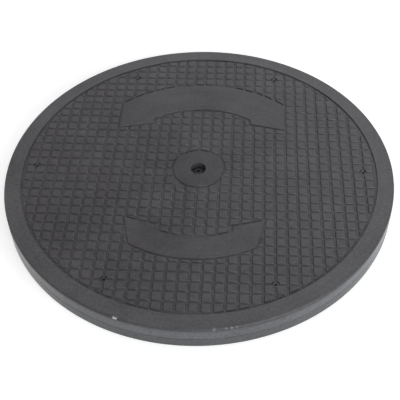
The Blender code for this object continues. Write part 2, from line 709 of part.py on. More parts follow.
def make_shoe_screws(parent):
    """Small round-headed screws with a cross recess, from above into the shoes."""
    zinc = finish("shoe_screw_zinc", (0.30, 0.30, 0.31), 0.35, 1.0)
    head_top = SMALL_HEAD_SEAT + SMALL_HEAD_HEIGHT
    profile = screw_profile(
        SMALL_HEAD_SEAT,
        SMALL_HEAD_RADIUS,
        SMALL_HEAD_HEIGHT,
        SMALL_HEAD_ROUND,
        SMALL_SCREW_RADIUS,
        SMALL_SCREW_TIP,
    )
    mesh = None
    for i, (x, y) in enumerate(SHOE_PLACES, 1):
        name = f"shoe_screw_{i}"
        if mesh is None:
            bm = turned(profile, SMALL_SEGMENTS)
            screw = add_piece(name, bm, zinc, parent, (x, y, 0))
            mesh = screw.data
        else:
            screw = place_piece(name, mesh, parent, (x, y, 0))
        bm = bmesh.new()
        prism(bm, cross_outline(x, y), head_top - CROSS_DEPTH, head_top + RIB_BITE)
        boolean(screw, add_tool(f"cross_{i}", bm), "DIFFERENCE")


def cross_outline(x, y):
    """Twelve corners of a cross, centred on (x, y)."""
    long, short = CROSS_LENGTH / 2, CROSS_WIDTH / 2
    quarter = [(long, -short), (long, short), (short, short)]
    corners = []
    for _ in range(4):
        corners += quarter
        quarter = [(-b, a) for a, b in quarter]
    return [(x + a, y + b) for a, b in corners]


def make_feet():
    """Round pads, pressed into recesses under the base."""
    rubber = finish("foot_rubber", (0.025, 0.025, 0.027), 0.85)
    top = FOOT_PROUD + FOOT_RECESS - FIT_GAP
    profile = [
        (0, 0),
        (FOOT_RADIUS - FOOT_CHAMFER, 0),
        (FOOT_RADIUS, FOOT_CHAMFER),
        (FOOT_RADIUS, top),
        (0, top),
    ]
    first = None
    for i, (x, y) in enumerate(foot_places(), 1):
        if first is None:
            bm = turned(profile, BOSS_SEGMENTS)
            first = add_piece("rubber_foot_1", bm, rubber, None, (x, y, 0))
        else:
            place_piece(f"rubber_foot_{i}", first.data, None, (x, y, 0))


def main():
    clear_scene()
    top_pivot = pivot("top_pivot", TOP_UNDERSIDE)
    cage_pivot = pivot("cage_pivot", BALL_HEIGHT)
    upper_steel = finish("upper_race_steel", (0.52, 0.52, 0.54), 0.3, 1.0)
    lower_steel = finish("lower_race_steel", (0.50, 0.50, 0.52), 0.3, 1.0)
    make_top_plate(top_pivot)
    make_base_plate()
    make_race("upper_race", 1, top_pivot, upper_steel)
    make_race("lower_race", -1, None, lower_steel)
    make_cage(cage_pivot)
    make_balls(cage_pivot)
    make_centre_stack()
    make_shoes(top_pivot)
    make_shoe_screws(top_pivot)
    make_feet()


main()
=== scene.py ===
# %% [markdown]
# # A swivel disc
#
# This lesson dresses a turning aid: a rigid plastic disc in two halves, the upper one turning
# on a ring of balls over the lower one. The construction comes packed as a fixed frame, with
# every part in metres and in its place. Here the two halves, the screws and the feet get
# their fine shapes, and every surface gets its finish.
#
# The first cell loads the frame and keeps its parts and its record.

import json
import math

import bmesh
import bpy
from mathutils import Matrix, Vector


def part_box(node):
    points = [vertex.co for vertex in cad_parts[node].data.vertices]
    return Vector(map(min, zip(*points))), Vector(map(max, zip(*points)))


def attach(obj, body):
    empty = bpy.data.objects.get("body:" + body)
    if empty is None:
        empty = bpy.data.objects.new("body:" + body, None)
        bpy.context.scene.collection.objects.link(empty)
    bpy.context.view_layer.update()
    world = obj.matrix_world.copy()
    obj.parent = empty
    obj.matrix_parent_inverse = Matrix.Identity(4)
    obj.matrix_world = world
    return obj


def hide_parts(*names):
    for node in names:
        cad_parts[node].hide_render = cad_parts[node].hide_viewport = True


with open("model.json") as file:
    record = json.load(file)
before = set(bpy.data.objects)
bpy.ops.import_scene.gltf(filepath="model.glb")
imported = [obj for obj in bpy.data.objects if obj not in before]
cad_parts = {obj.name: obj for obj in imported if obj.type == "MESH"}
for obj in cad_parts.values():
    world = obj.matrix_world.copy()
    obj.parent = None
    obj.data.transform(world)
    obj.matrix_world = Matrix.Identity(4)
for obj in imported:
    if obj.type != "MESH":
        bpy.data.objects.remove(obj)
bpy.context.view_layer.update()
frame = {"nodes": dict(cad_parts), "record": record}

# %% [markdown]
# ## Sizes
#
# A dressed piece has to lie where the frame's piece lies, so the main heights and the radius
# are read from the frame. The rest are the moulding's own sizes in millimetres: the tread's
# depth, the rim, the hub and the small roundings that a mould leaves. They could be typed
# where they are used, but two pieces that meet have to agree, so each has one name.

# %% Heights and radii
MM = 0.001

plate_low, plate_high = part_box("top_plate")
base_low, base_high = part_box("base_plate")
race_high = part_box("upper_race")[1]

DISC_RADIUS = plate_high.x
TOP_FACE = plate_high.z
SKIRT_BOTTOM = plate_low.z + 0.5 * MM
SEAM = 0.38 * MM
BASE_TOP = SKIRT_BOTTOM - SEAM
BASE_BOTTOM = base_low.z
LIP_TOP = base_high.z

TREAD_DEPTH = 1.2 * MM
TREAD_FLOOR = TOP_FACE - TREAD_DEPTH
UNDERSIDE = TREAD_FLOOR - 3.0 * MM
DRAFT = 0.15 * MM
EDGE_ROUND = 2.2 * MM
EDGE_DROP = 3.0 * MM
SMALL_ROUND = 0.35 * MM
SOFT_ROUND = 0.85 * MM
SEAM_ROUND = 0.2 * MM
FIT = 0.3 * MM

RIM_INNER = DISC_RADIUS - 16.9 * MM
SKIRT_INNER = DISC_RADIUS - 3.0 * MM
HUB_RADIUS = 25.9 * MM
HOLE_RADIUS = 8.0 * MM
HOLE_DEPTH = 9.3 * MM
HUB_FLOOR_THICKNESS = 3.0 * MM
HUB_BORE = 6.0 * MM
HUB_BOSS = 12.0 * MM

print(f"disc: {2 * DISC_RADIUS / MM:.0f} mm across, top face at {TOP_FACE / MM:.1f} mm")

# %% [markdown]
# ## Turned shapes
#
# Nearly every piece of the disc is round: both halves come out of round moulds, and the screws
# were turned. Such a shape could be stacked up from cylinders. Here the spin operator sweeps
# an outline of radii and heights once round the upright axis, because each wall, step and
# rounding of the real section is then one point or one arc of the outline, at its true size.

# %% Arcs and turned shapes
ROUND_STEPS = 240
CORNER_STEPS = 4
WELD = 0.001 * MM


def arc(centre, radius, start, end, steps=CORNER_STEPS):
    """Points on an arc, with its start and end in degrees."""
    turns = [math.radians(start + (end - start) * i / steps) for i in range(steps + 1)]
    return [(centre[0] + radius * math.cos(a), centre[1] + radius * math.sin(a)) for a in turns]


def lathe(profile, steps=ROUND_STEPS, centre=(0, 0)):
    """Spins a closed (radius, height) outline, or one that starts and ends on the axis."""
    bm = bmesh.new()
    x, y = centre
    points = [bm.verts.new((x + radius, y, height)) for radius, height in profile]
    edges = [bm.edges.new(pair) for pair in zip(points, points[1:])]
    if profile[0][0] > 0:
        edges.append(bm.edges.new((points[-1], points[0])))
    bmesh.ops.spin(
        bm,
        geom=points + edges,
        cent=(x, y, 0),
        axis=(0, 0, 1),
        angle=math.tau,
        steps=steps,
        use_merge=True,
    )
    bmesh.ops.remove_doubles(bm, verts=bm.verts, dist=WELD)
    bmesh.ops.recalc_face_normals(bm, faces=bm.faces)
    return bm


# %% [markdown]
# ## Slabs
#
# A few shapes have a flat outline and plain sides: the crescents, the nut's pocket, the
# screw's socket. The outline becomes one face and is raised by an extrusion. The foot may be
# wider than the top, because a moulded wall leans, so that the mould lets go of it. The second
# helper gathers solids that don't touch in one mesh, so that one cut serves for all of them.

# %% Slabs and gathered solids
def slab(outline, low, high, foot=None):
    """Raises a flat outline into a closed solid. A foot is a wider outline for its lower end."""
    bm = bmesh.new()
    corners = [bm.verts.new((x, y, low)) for x, y in outline]
    face = bm.faces.new(corners)
    grown = bmesh.ops.extrude_face_region(bm, geom=[face])
    raised = [item for item in grown["geom"] if isinstance(item, bmesh.types.BMVert)]
    bmesh.ops.translate(bm, verts=raised, vec=(0, 0, high - low))
    for corner, (x, y) in zip(corners, foot or outline):
        corner.co.xy = x, y
    bmesh.ops.recalc_face_normals(bm, faces=bm.faces)
    return bm


def gather(*parts):
    """One bmesh that holds several."""
    whole = bmesh.new()
    for part in parts:
        mesh = bpy.data.meshes.new("part")
        part.to_mesh(mesh)
        part.free()
        whole.from_mesh(mesh)
        bpy.data.meshes.remove(mesh)
    return whole


# %% [markdown]
# ## Rounded edges
#
# A moulded edge is never quite sharp, and it is the rounding that catches the light. A Bevel
# modifier could round them all by their angle, but it would take the ribs and the bores too.
# The bevel operator takes only the edges that it is given, and the second helper finds the
# ones that matter: those where a flat top meets a steep wall.

# %% Rounded edges
def round_edges(bm, edges, width, steps=2):
    bmesh.ops.bevel(
        bm,
        geom=edges,
        offset=width,
        segments=steps,
        profile=0.5,
        affect="EDGES",
        material=-1,
    )


def top_outline(bm, height):
    """The edges at a height where a flat top meets a steep wall."""
    found = []
    for edge in bm.edges:
        level = all(abs(vert.co.z - height) < WELD for vert in edge.verts)
        if level and any(abs(face.normal.z) < 0.5 for face in edge.link_faces):
            found.append(edge)
    return found


# %% [markdown]
# ## Solids that join and cut
#
# A mould-maker cuts a mould with one cutter after another, and the halves are made in the same
# way: closed solids are joined, cut or crossed. The Boolean modifier does it, and its result
# is read back into a bmesh. Its Manifold solver handles the tread's hundreds of pads at once,
# where the Exact solver takes long and leaves open seams.

# %% Join, cut and cross
def solid_object(name, bm):
    mesh = bpy.data.meshes.new(name)
    bm.to_mesh(mesh)
    bm.free()
    obj = bpy.data.objects.new(name, mesh)
    bpy.context.scene.collection.objects.link(obj)
    return obj


def combine(body, tool, operation):
    """A new bmesh of two closed solids joined, cut or crossed."""
    body_object = solid_object("body_solid", body)
    tool_object = solid_object("tool_solid", tool)
    modifier = body_object.modifiers.new("combine", "BOOLEAN")
    modifier.object = tool_object
    modifier.operation = operation
    modifier.solver = "MANIFOLD"
    graph = bpy.context.evaluated_depsgraph_get()
    result = bmesh.new()
    result.from_object(body_object, graph)
    for obj in (body_object, tool_object):
        mesh = obj.data
        bpy.data.objects.remove(obj)
        bpy.data.meshes.remove(mesh)
    return result


# %% [markdown]
# ## Finishing a piece
#
# Every finished piece gets one material, smooth shading broken at its sharp edges and the body
# that it moves with, and the frame's nodes that it stands for are hidden. The Weighted Normal
# modifier keeps big flat faces looking flat where they meet small roundings, which would
# otherwise bend the shading right across them.

# %% Add a piece
SHARP = math.radians(32)


def add_piece(name, bm, material, body, slot, *nodes):
    bmesh.ops.remove_doubles(bm, verts=bm.verts, dist=WELD)
    loose = [vert for vert in bm.verts if not vert.link_faces]
    bmesh.ops.delete(bm, geom=loose, context="VERTS")
    open_edges = sum(len(edge.link_faces) != 2 for edge in bm.edges)
    piece = solid_object(name, bm)
    piece.data.shade_smooth()
    piece.data.set_sharp_from_angle(angle=SHARP)
    piece.data.materials.append(material)
    weighted = piece.modifiers.new("flat_faces", "WEIGHTED_NORMAL")
    weighted.keep_sharp = True
    weighted.weight = 100
    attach(piece, body)
    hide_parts(*nodes)
    triangles = sum(len(face.vertices) - 2 for face in piece.data.polygons)
    print(f"{name}: {triangles} triangles, {open_edges} open edges")


# %% [markdown]
# ## Node helpers
#
# A material is a small graph. It could be wired by hand in the editor, but a script is the
# same each time. These helpers keep its code short: the first adds a node and fills its
# inputs, either with a value or with another node's output, and the others make the nodes
# that nearly every finish needs.

# %% Nodes
def node(tree, kind, settings=None, **inputs):
    """Adds a node. An input is a value, or an output socket to link from."""
    made = tree.nodes.new(kind)
    for key, value in (settings or {}).items():
        setattr(made, key, value)
    for key, value in inputs.items():
        by_number = key[1:].isdigit()
        socket = made.inputs[int(key[1:])] if by_number else made.inputs[key.replace("_", " ")]
        if isinstance(value, bpy.types.NodeSocket):
            tree.links.new(value, socket)
        else:
            socket.default_value = value
    return made


def maths(tree, operation, first, second=0.0):
    return node(tree, "ShaderNodeMath", {"operation": operation}, i0=first, i1=second).outputs[0]


def stretch(tree, value, low, high, to_low=0.0, to_high=1.0):
    """Maps low..high to another range, and stops at its ends."""
    made = node(
        tree,
        "ShaderNodeMapRange",
        {"clamp": True},
        Value=value,
        From_Min=low,
        From_Max=high,
        To_Min=to_low,
        To_Max=to_high,
    )
    return made.outputs[0]


def mix_colour(tree, amount, first, second, blend="MIX"):
    settings = {"data_type": "RGBA", "blend_type": blend}
    return node(tree, "ShaderNodeMix", settings, i0=amount, i6=first, i7=second).outputs[2]


# %% [markdown]
# Two more helpers read the place on the object. A noise gives every kind of unevenness. The
# distance from the disc's upright axis comes from the place with its height struck out, and
# whatever follows that distance comes out as a ring.

# %% Noise and distance
def noise(tree, place, scale, detail, roughness=0.5):
    made = node(
        tree,
        "ShaderNodeTexNoise",
        Vector=place,
        Scale=scale,
        Detail=detail,
        Roughness=roughness,
    )
    return made.outputs[0]


def vector_maths(tree, operation, *inputs):
    settings = {"operation": operation}
    numbered = {f"i{number}": value for number, value in enumerate(inputs)}
    return node(tree, "ShaderNodeVectorMath", settings, **numbered).outputs


def from_axis(tree, place):
    """The level part of a place, and its distance from the upright axis."""
    flat = vector_maths(tree, "MULTIPLY", place, (1.0, 1.0, 0.0))[0]
    return flat, vector_maths(tree, "LENGTH", flat)["Value"]


# %% [markdown]
# ## Shader groups
#
# Grain, wear and dust show on more than one of the disc's materials. Each could be built again
# in every material, but a group is built once, with named inputs and outputs, and is then
# placed in each material with its own values. A better grain is then better everywhere.

# %% Groups
KINDS = {"vector": "NodeSocketVector", "number": "NodeSocketFloat"}


def start_group(name, inputs, outputs):
    """A shader group with its sockets: inputs are (name, kind, value), outputs (name, kind)."""
    tree = bpy.data.node_groups.new(name, "ShaderNodeTree")
    for label, kind, value in inputs:
        socket = tree.interface.new_socket(label, in_out="INPUT", socket_type=KINDS[kind])
        if value is not None:
            socket.default_value = value
    for label, kind in outputs:
        tree.interface.new_socket(label, in_out="OUTPUT", socket_type=KINDS[kind])
    entry = tree.nodes.new("NodeGroupInput")
    leave = tree.nodes.new("NodeGroupOutput")
    return tree, entry.outputs, leave.inputs


def use_group(tree, group, **inputs):
    return node(tree, "ShaderNodeGroup", {"node_tree": group}, **inputs).outputs


def report(tree):
    print(f"{tree.name}: {len(tree.nodes)} nodes")
    return tree


# %% [markdown]
# ## Moulded grain
#
# Moulded plastic isn't smooth: spark erosion leaves a fine grain in the mould, and the
# plastic's tone and gloss change slowly from place to place. A picture of plastic could be
# laid over the disc, but it would stretch round the edge. Noises on the object's own
# coordinates don't, at any scale. The group gives a height for the grain, a slow blotch that
# is centimetres wide and a mottle of a few millimetres.

# %% Grain group
def make_grain():
    tree, given, out = start_group(
        "moulded_grain",
        [
            ("Coordinates", "vector", None),
            ("Grain per Metre", "number", 2200.0),
            ("Blotch per Metre", "number", 22.0),
        ],
        [("Height", "number"), ("Blotch", "number"), ("Mottle", "number")],
    )
    place = given["Coordinates"]
    grain = given["Grain per Metre"]
    fine = noise(tree, place, grain, 2.0, 0.6)
    coarse = noise(tree, place, maths(tree, "MULTIPLY", grain, 0.27), 1.0)
    fine_share = maths(tree, "MULTIPLY", fine, 0.6)
    coarse_share = maths(tree, "MULTIPLY", coarse, 0.4)
    blotch = noise(tree, place, given["Blotch per Metre"], 4.0, 0.6)
    mottle = noise(tree, place, maths(tree, "MULTIPLY", grain, 0.16), 3.0, 0.7)
    tree.links.new(maths(tree, "ADD", fine_share, coarse_share), out["Height"])
    tree.links.new(stretch(tree, blotch, 0.3, 0.7), out["Blotch"])
    tree.links.new(stretch(tree, mottle, 0.3, 0.7), out["Mottle"])
    return report(tree)


GRAIN = make_grain()

# %% [markdown]
# ## Edge wear
#
# Edges that are handled and slid over the floor go paler and glossier. They could be painted
# on by hand. Pointiness is high where a mesh is convex, so it finds those edges by itself on
# any piece, and a noise breaks the mask up, because no edge wears evenly.

# %% Edge wear group
def make_edge_wear():
    tree, given, out = start_group(
        "edge_wear",
        [
            ("Coordinates", "vector", None),
            ("Start", "number", 0.52),
            ("Full", "number", 0.6),
            ("Patches per Metre", "number", 60.0),
        ],
        [("Mask", "number")],
    )
    geometry = node(tree, "ShaderNodeNewGeometry")
    convex = stretch(tree, geometry.outputs["Pointiness"], given["Start"], given["Full"])
    patches = noise(tree, given["Coordinates"], given["Patches per Metre"], 3.0, 0.7)
    broken = stretch(tree, patches, 0.35, 0.65, 0.35, 1.0)
    tree.links.new(maths(tree, "MULTIPLY", convex, broken), out["Mask"])
    return report(tree)


EDGE_WEAR = make_edge_wear()

# %% [markdown]
# ## Dust
#
# Dust settles where a surface faces up and lies in a hollow. It could be strewn as specks, but
# on a disc this clean only a faint tint of it shows. The mask is the product of the two, with a
# soft noise, and a material mixes a little grey in with it.

# %% Dust group
def make_dust():
    tree, given, out = start_group(
        "settled_dust",
        [("Coordinates", "vector", None), ("Patches per Metre", "number", 35.0)],
        [("Mask", "number")],
    )
    geometry = node(tree, "ShaderNodeNewGeometry")
    facing = node(tree, "ShaderNodeSeparateXYZ", Vector=geometry.outputs["Normal"]).outputs["Z"]
    upward = stretch(tree, facing, 0.6, 1.0)
    hollow = stretch(tree, geometry.outputs["Pointiness"], 0.5, 0.44)
    patches = noise(tree, given["Coordinates"], given["Patches per Metre"], 4.0, 0.65)
    lying = maths(tree, "MULTIPLY", upward, stretch(tree, patches, 0.42, 0.7))
    tree.links.new(maths(tree, "MULTIPLY", lying, maths(tree, "ADD", hollow, 0.25)), out["Mask"])
    return report(tree)


DUST = make_dust()

# %% [markdown]
# ## Sink marks
#
# Where a rib or a lip stands under a moulded plate, the plate cools more slowly and sinks a
# few hundredths of a millimetre. That is too shallow to be worth modelling, but a reflection
# bends over it, so it goes into the bump. Such a mark is a soft ring, and the group turns the
# distance from the disc's axis into a bell-shaped curve.

# %% Sink mark group
def make_sink_ring():
    tree, given, out = start_group(
        "sink_ring",
        [("Coordinates", "vector", None), ("Radius", "number", 0.1), ("Width", "number", 0.002)],
        [("Depth", "number")],
    )
    _, distance = from_axis(tree, given["Coordinates"])
    away = maths(tree, "SUBTRACT", distance, given["Radius"])
    share = maths(tree, "DIVIDE", away, given["Width"])
    squared = maths(tree, "MULTIPLY", share, share)
    bell = maths(tree, "EXPONENT", maths(tree, "MULTIPLY", squared, -1.0))
    tree.links.new(bell, out["Depth"])
    return report(tree)


SINK_RING = make_sink_ring()

# %% [markdown]
# ## Turned metal
#
# A turned or ground metal face has fine rings round its axis. They could be modelled as
# grooves, at a great cost in faces. A noise that reads only the distance from the axis gives
# them for nothing. The blotch of the same group dulls the metal in places, as oil and handling
# do.

# %% Turned metal group
def make_turning():
    tree, given, out = start_group(
        "turned_metal",
        [("Coordinates", "vector", None), ("Rings per Metre", "number", 4000.0)],
        [("Height", "number"), ("Blotch", "number")],
    )
    place = given["Coordinates"]
    _, distance = from_axis(tree, place)
    height = node(tree, "ShaderNodeSeparateXYZ", Vector=place).outputs["Z"]
    rings = node(
        tree,
        "ShaderNodeTexNoise",
        {"noise_dimensions": "1D"},
        W=maths(tree, "ADD", distance, maths(tree, "MULTIPLY", height, 0.7)),
        Scale=given["Rings per Metre"],
        Detail=2.0,
    )
    tree.links.new(rings.outputs[0], out["Height"])
    blotch = noise(tree, place, 180.0, 4.0, 0.65)
    tree.links.new(stretch(tree, blotch, 0.35, 0.68), out["Blotch"])
    return report(tree)


TURNING = make_turning()

# %% [markdown]
# ## The plastic of both halves
#
# The disc is moulded in charcoal plastic with a satin face. One flat grey would look like
# paint, so the colour goes darker and lighter with the mottle and, more slowly, with the
# blotch. The gloss follows the blotch as well, the grain breaks up the reflection, worn edges
# go paler and shine, and a trace of dust lies in the hollows. One function makes all the
# plastics, and a material may add marks of its own before it is wired up.

# %% Plastic
MOTTLE_SHARE = 0.7
BLOTCH_SHARE = 0.3
WEAR_TINT = 0.45
WEAR_POLISH = 0.08
DUST_TINT = 0.10
DUST_DULLING = 0.25
DUST_COLOUR = (0.32, 0.31, 0.29, 1)


def start_material(name):
    material = bpy.data.materials.new(name)
    material.use_nodes = True
    return material, material.node_tree


def shader_of(material):
    return material.node_tree.nodes["Principled BSDF"]


def wire_up(material, shade, gloss, height=None):
    """Links the colour, the roughness and the relief to a material's shader."""
    tree, shader = material.node_tree, shader_of(material)
    tree.links.new(shade, shader.inputs["Base Color"])
    tree.links.new(gloss, shader.inputs["Roughness"])
    if height is not None:
        relief = node(tree, "ShaderNodeBump", Strength=1.0, Distance=1.0, Height=height)
        tree.links.new(relief.outputs["Normal"], shader.inputs["Normal"])
    print(f"{material.name}: {len(tree.nodes)} nodes")
    return material


def plastic(name, colour, pale, roughness, bump=0.00002, spread=0.36, extra=None):
    """Satin moulded plastic. extra changes the height, the shade and the gloss in its own way."""
    material, tree = start_material(name)
    place = node(tree, "ShaderNodeTexCoord").outputs["Object"]
    grain = use_group(tree, GRAIN, Coordinates=place)
    wear = use_group(tree, EDGE_WEAR, Coordinates=place)["Mask"]
    dust = use_group(tree, DUST, Coordinates=place)["Mask"]
    slow = maths(tree, "MULTIPLY", grain["Blotch"], BLOTCH_SHARE)
    tone = maths(tree, "ADD", slow, maths(tree, "MULTIPLY", grain["Mottle"], MOTTLE_SHARE))
    darker = (*[c * (1 - spread) for c in colour], 1)
    lighter = (*[c * (1 + spread) for c in colour], 1)
    shade = mix_colour(tree, tone, darker, lighter)
    shade = mix_colour(tree, maths(tree, "MULTIPLY", wear, WEAR_TINT), shade, (*pale, 1))
    shade = mix_colour(tree, maths(tree, "MULTIPLY", dust, DUST_TINT), shade, DUST_COLOUR)
    gloss = stretch(tree, grain["Blotch"], 0.0, 1.0, roughness - 0.03, roughness + 0.04)
    gloss = maths(tree, "SUBTRACT", gloss, maths(tree, "MULTIPLY", wear, WEAR_POLISH))
    gloss = maths(tree, "ADD", gloss, maths(tree, "MULTIPLY", dust, DUST_DULLING))
    height = maths(tree, "MULTIPLY", grain["Height"], bump)
    if extra:
        height, shade, gloss = extra(tree, place, height, shade, gloss)
    return wire_up(material, shade, gloss, height)


# %% [markdown]
# ## The rim and the skirt
#
# The rim outside the tread looks a little paler than the tread. The rounded edge is rougher,
# and its colour is darker: that is painted shade, a dark line along the edge. The skirt below
# it is glossier, because the mould was polished there, and its colour is much paler: that is
# painted light on the skirt's side.
# They could be materials of their own, but two materials meet in a hard line, and on the real
# disc the change runs softly over the edge. So one material reads the distance from the axis
# and the height, and lets its colour and its gloss follow both.

# %% Rim and skirt
# The second gain darkens the rounded edge as painted shade, and the third makes the skirt paler as
# painted light.
RIM_GAIN = (1.37, 1.40, 1.36, 1)
EDGE_PAINTED_SHADE = (0.92, 0.94, 0.92, 1)
SKIRT_PAINTED_LIGHT = (1.75, 1.94, 1.91, 1)
EDGE_DULLING = 0.12
SKIRT_POLISH = 0.17


def rim_tint_and_painted_light(tree, place, shade, gloss):
    """Outside the tread: a paler rim, a darker rounded edge (painted shade) and a smoother skirt made
    paler (painted light).
    """
    _, distance = from_axis(tree, place)
    level = node(tree, "ShaderNodeSeparateXYZ", Vector=place).outputs["Z"]
    outside = stretch(tree, distance, RIM_INNER - 0.8 * MM, RIM_INNER + 0.2 * MM)
    edge = stretch(tree, level, TOP_FACE - 0.1 * MM, TOP_FACE - 0.6 * MM)
    skirt = stretch(tree, level, TOP_FACE - 1.0 * MM, TOP_FACE - 5.5 * MM)
    # Painted shade: the rounded edge is darker. Painted light: the skirt is much paler.
    tint_with_painted_light = mix_colour(tree, edge, RIM_GAIN, EDGE_PAINTED_SHADE)
    tint_with_painted_light = mix_colour(tree, skirt, tint_with_painted_light, SKIRT_PAINTED_LIGHT)
    duller = stretch(tree, skirt, 0.0, 1.0, EDGE_DULLING, -SKIRT_POLISH)
    duller = maths(tree, "MULTIPLY", maths(tree, "MULTIPLY", outside, edge), duller)
    return mix_colour(tree, outside, shade, tint_with_painted_light, "MULTIPLY"), maths(tree, "ADD", gloss, duller)


# %% [markdown]
# ## Flow marks
#
# The plastic enters the mould at the hub and flows outwards, and its front freezes in faint
# arcs that show on the flat crescents. Rings of one width would look drawn. A noise looks
# right when its coordinates are the distance from the axis and the direction, in place of X,
# Y and Z: it is then long round the disc, short across it, and uneven both ways.

# %% Flow marks
FLOW_ARCS_PER_METRE = 160.0
FLOW_DARK = (0.91, 0.91, 0.91, 1)
FLOW_LIGHT = (1.09, 1.09, 1.09, 1)


def flow_marks(tree, place, shade):
    """Faint arcs round the axis, where the plastic flowed outwards into the mould."""
    flat, distance = from_axis(tree, place)
    way = vector_maths(tree, "NORMALIZE", flat)[0]
    parts = node(tree, "ShaderNodeSeparateXYZ", Vector=way).outputs
    out = maths(tree, "MULTIPLY", distance, FLOW_ARCS_PER_METRE)
    bent = node(tree, "ShaderNodeCombineXYZ", i0=out, i1=parts["X"], i2=parts["Y"])
    arcs = noise(tree, bent.outputs[0], 1.6, 3.0, 0.6)
    tint = mix_colour(tree, stretch(tree, arcs, 0.3, 0.7), FLOW_DARK, FLOW_LIGHT)
    return mix_colour(tree, 1.0, shade, tint, "MULTIPLY")


# %% [markdown]
# ## Sinks and nicks
#
# The last marks of the top are the soft rings where the two lips of the bearing's seat stand
# underneath, a fainter one round the hub, and small nicks along the front of the edge, where
# the disc was knocked. A nick could be cut into the mesh, but each is only a millimetre or
# two across, and what shows is its pale, torn plastic. So each is a ball of distance round a
# point of the edge, made ragged by a noise.

# %% Marks of the top
SINKS = (
    # radius, width and depth, in millimetres
    (121.6, 1.8, 0.045),
    (109.0, 1.8, 0.020),
    (58.0, 2.2, 0.030),
)
NICKS = (
    # angle in degrees, size in millimetres and paleness
    (251.2, 1.7, 0.80),
    (251.8, 1.7, 0.80),
    (277.3, 1.9, 0.24),
    (280.3, 1.5, 0.24),
    (281.8, 1.5, 0.28),
    (283.1, 1.4, 0.20),
)
NICK_RADIUS = DISC_RADIUS - 1.0 * MM
NICK_HEIGHT = TOP_FACE - 1.0 * MM


def marks_of_top(tree, place, height, shade, gloss):
    shade, gloss = rim_tint_and_painted_light(tree, place, flow_marks(tree, place, shade), gloss)
    for radius, width, depth in SINKS:
        ring = use_group(tree, SINK_RING, Coordinates=place, Radius=radius * MM, Width=width * MM)
        height = maths(tree, "SUBTRACT", height, maths(tree, "MULTIPLY", ring["Depth"], depth * MM))
    ragged = noise(tree, place, 1500.0, 3.0, 0.7)
    for angle, size, pale in NICKS:
        turn = math.radians(angle)
        spot = (NICK_RADIUS * math.cos(turn), NICK_RADIUS * math.sin(turn), NICK_HEIGHT)
        gap = vector_maths(tree, "DISTANCE", place, spot)["Value"]
        near = stretch(tree, gap, size * MM, 0.3 * size * MM)
        chip = maths(tree, "MULTIPLY", near, stretch(tree, ragged, 0.40, 0.56))
        shade = mix_colour(tree, chip, shade, (pale, pale, pale, 1))
    return height, shade, gloss


TOP_PLASTIC = plastic(
    "charcoal_top",
    colour=(0.0594, 0.0546, 0.0601),
    pale=(0.16, 0.155, 0.16),
    roughness=0.36,
    extra=marks_of_top,
)
# The lower half's colour is paler than the upper half's tread: that is painted light on its side wall.
BASE_PLASTIC = plastic(
    "charcoal_base",
    colour=(0.0712, 0.0722, 0.0758),
    pale=(0.16, 0.16, 0.165),
    roughness=0.24,
)

# %% [markdown]
# ## Metals
#
# The screws are the only metal that shows, but the races, balls and washers inside get their
# finishes too, because the disc may be taken apart. Each could have a graph of its own. One
# function makes them all instead, because plated, blackened or bare steel differ only in
# colour, in gloss and in how much the turning marks show. The balls are polished, so they
# have no turning marks.

# %% Metals
WEAR_PATCHES_ON_SCREWS = 900.0


def metal(name, colour, dull, roughness, rings, bump=0.000004, worn=None):
    """Steel with turning marks. worn is the colour that shows through at its edges."""
    material, tree = start_material(name)
    shader_of(material).inputs["Metallic"].default_value = 1.0
    place = node(tree, "ShaderNodeTexCoord").outputs["Object"]
    turning = use_group(tree, TURNING, Coordinates=place, Rings_per_Metre=rings)
    shade = mix_colour(tree, turning["Blotch"], (*colour, 1), (*dull, 1))
    if worn:
        patches = WEAR_PATCHES_ON_SCREWS
        wear = use_group(tree, EDGE_WEAR, Coordinates=place, Patches_per_Metre=patches)["Mask"]
        shade = mix_colour(tree, wear, shade, (*worn, 1))
    gloss = stretch(tree, turning["Blotch"], 0.0, 1.0, roughness, roughness + 0.14)
    height = maths(tree, "MULTIPLY", turning["Height"], bump) if bump else None
    return wire_up(material, shade, gloss, height)


DARK_ZINC = metal(
    "dark_zinc_screw",
    colour=(0.132, 0.130, 0.133),
    dull=(0.09, 0.09, 0.09),
    roughness=0.34,
    rings=9000.0,
    worn=(0.25, 0.25, 0.25),
)
BLACK_STEEL = metal(
    "blackened_screw",
    colour=(0.105, 0.100, 0.102),
    dull=(0.08, 0.08, 0.082),
    roughness=0.52,
    rings=9000.0,
    worn=(0.2, 0.2, 0.2),
)
ZINC_WASHER = metal("zinc_washer", (0.45, 0.45, 0.46), (0.30, 0.30, 0.31), 0.30, 6000.0)
ZINC_NUT = metal("zinc_nut", (0.42, 0.42, 0.43), (0.28, 0.28, 0.29), 0.34, 6000.0)
SLEEVE_STEEL = metal("turned_sleeve", (0.50, 0.50, 0.52), (0.38, 0.38, 0.39), 0.24, 7000.0)
UPPER_RACE_STEEL = metal("upper_race_finish", (0.52, 0.52, 0.54), (0.36, 0.36, 0.36), 0.26, 2500.0)
LOWER_RACE_STEEL = metal("lower_race_finish", (0.50, 0.50, 0.52), (0.34, 0.34, 0.34), 0.28, 2500.0)
BALL_STEEL = metal("polished_ball", (0.60, 0.61, 0.63), (0.50, 0.50, 0.52), 0.08, 1500.0, bump=0.0)

# %% [markdown]
# ## The other plastics and the rubber
#
# Nylon, acetal and rubber are kin to the moulded plastic, so they come from the same function
# with their own colour, gloss and grain. The first three are pale and even, so their tone
# spreads less. The rubber is nearly matt, and its grain is deeper.

# %% Nylon, acetal and rubber
NYLON = plastic("natural_nylon", (0.62, 0.60, 0.54), (0.72, 0.70, 0.66), 0.42, spread=0.1)
WASHER_ACETAL = plastic("washer_acetal", (0.70, 0.69, 0.65), (0.76, 0.75, 0.72), 0.36, spread=0.1)
SHOE_ACETAL = plastic("shoe_acetal", (0.68, 0.67, 0.62), (0.75, 0.74, 0.70), 0.38, spread=0.1)
RUBBER = plastic("foot_rubber_finish", (0.022, 0.022, 0.023), (0.05, 0.05, 0.05), 0.78, 0.00004)

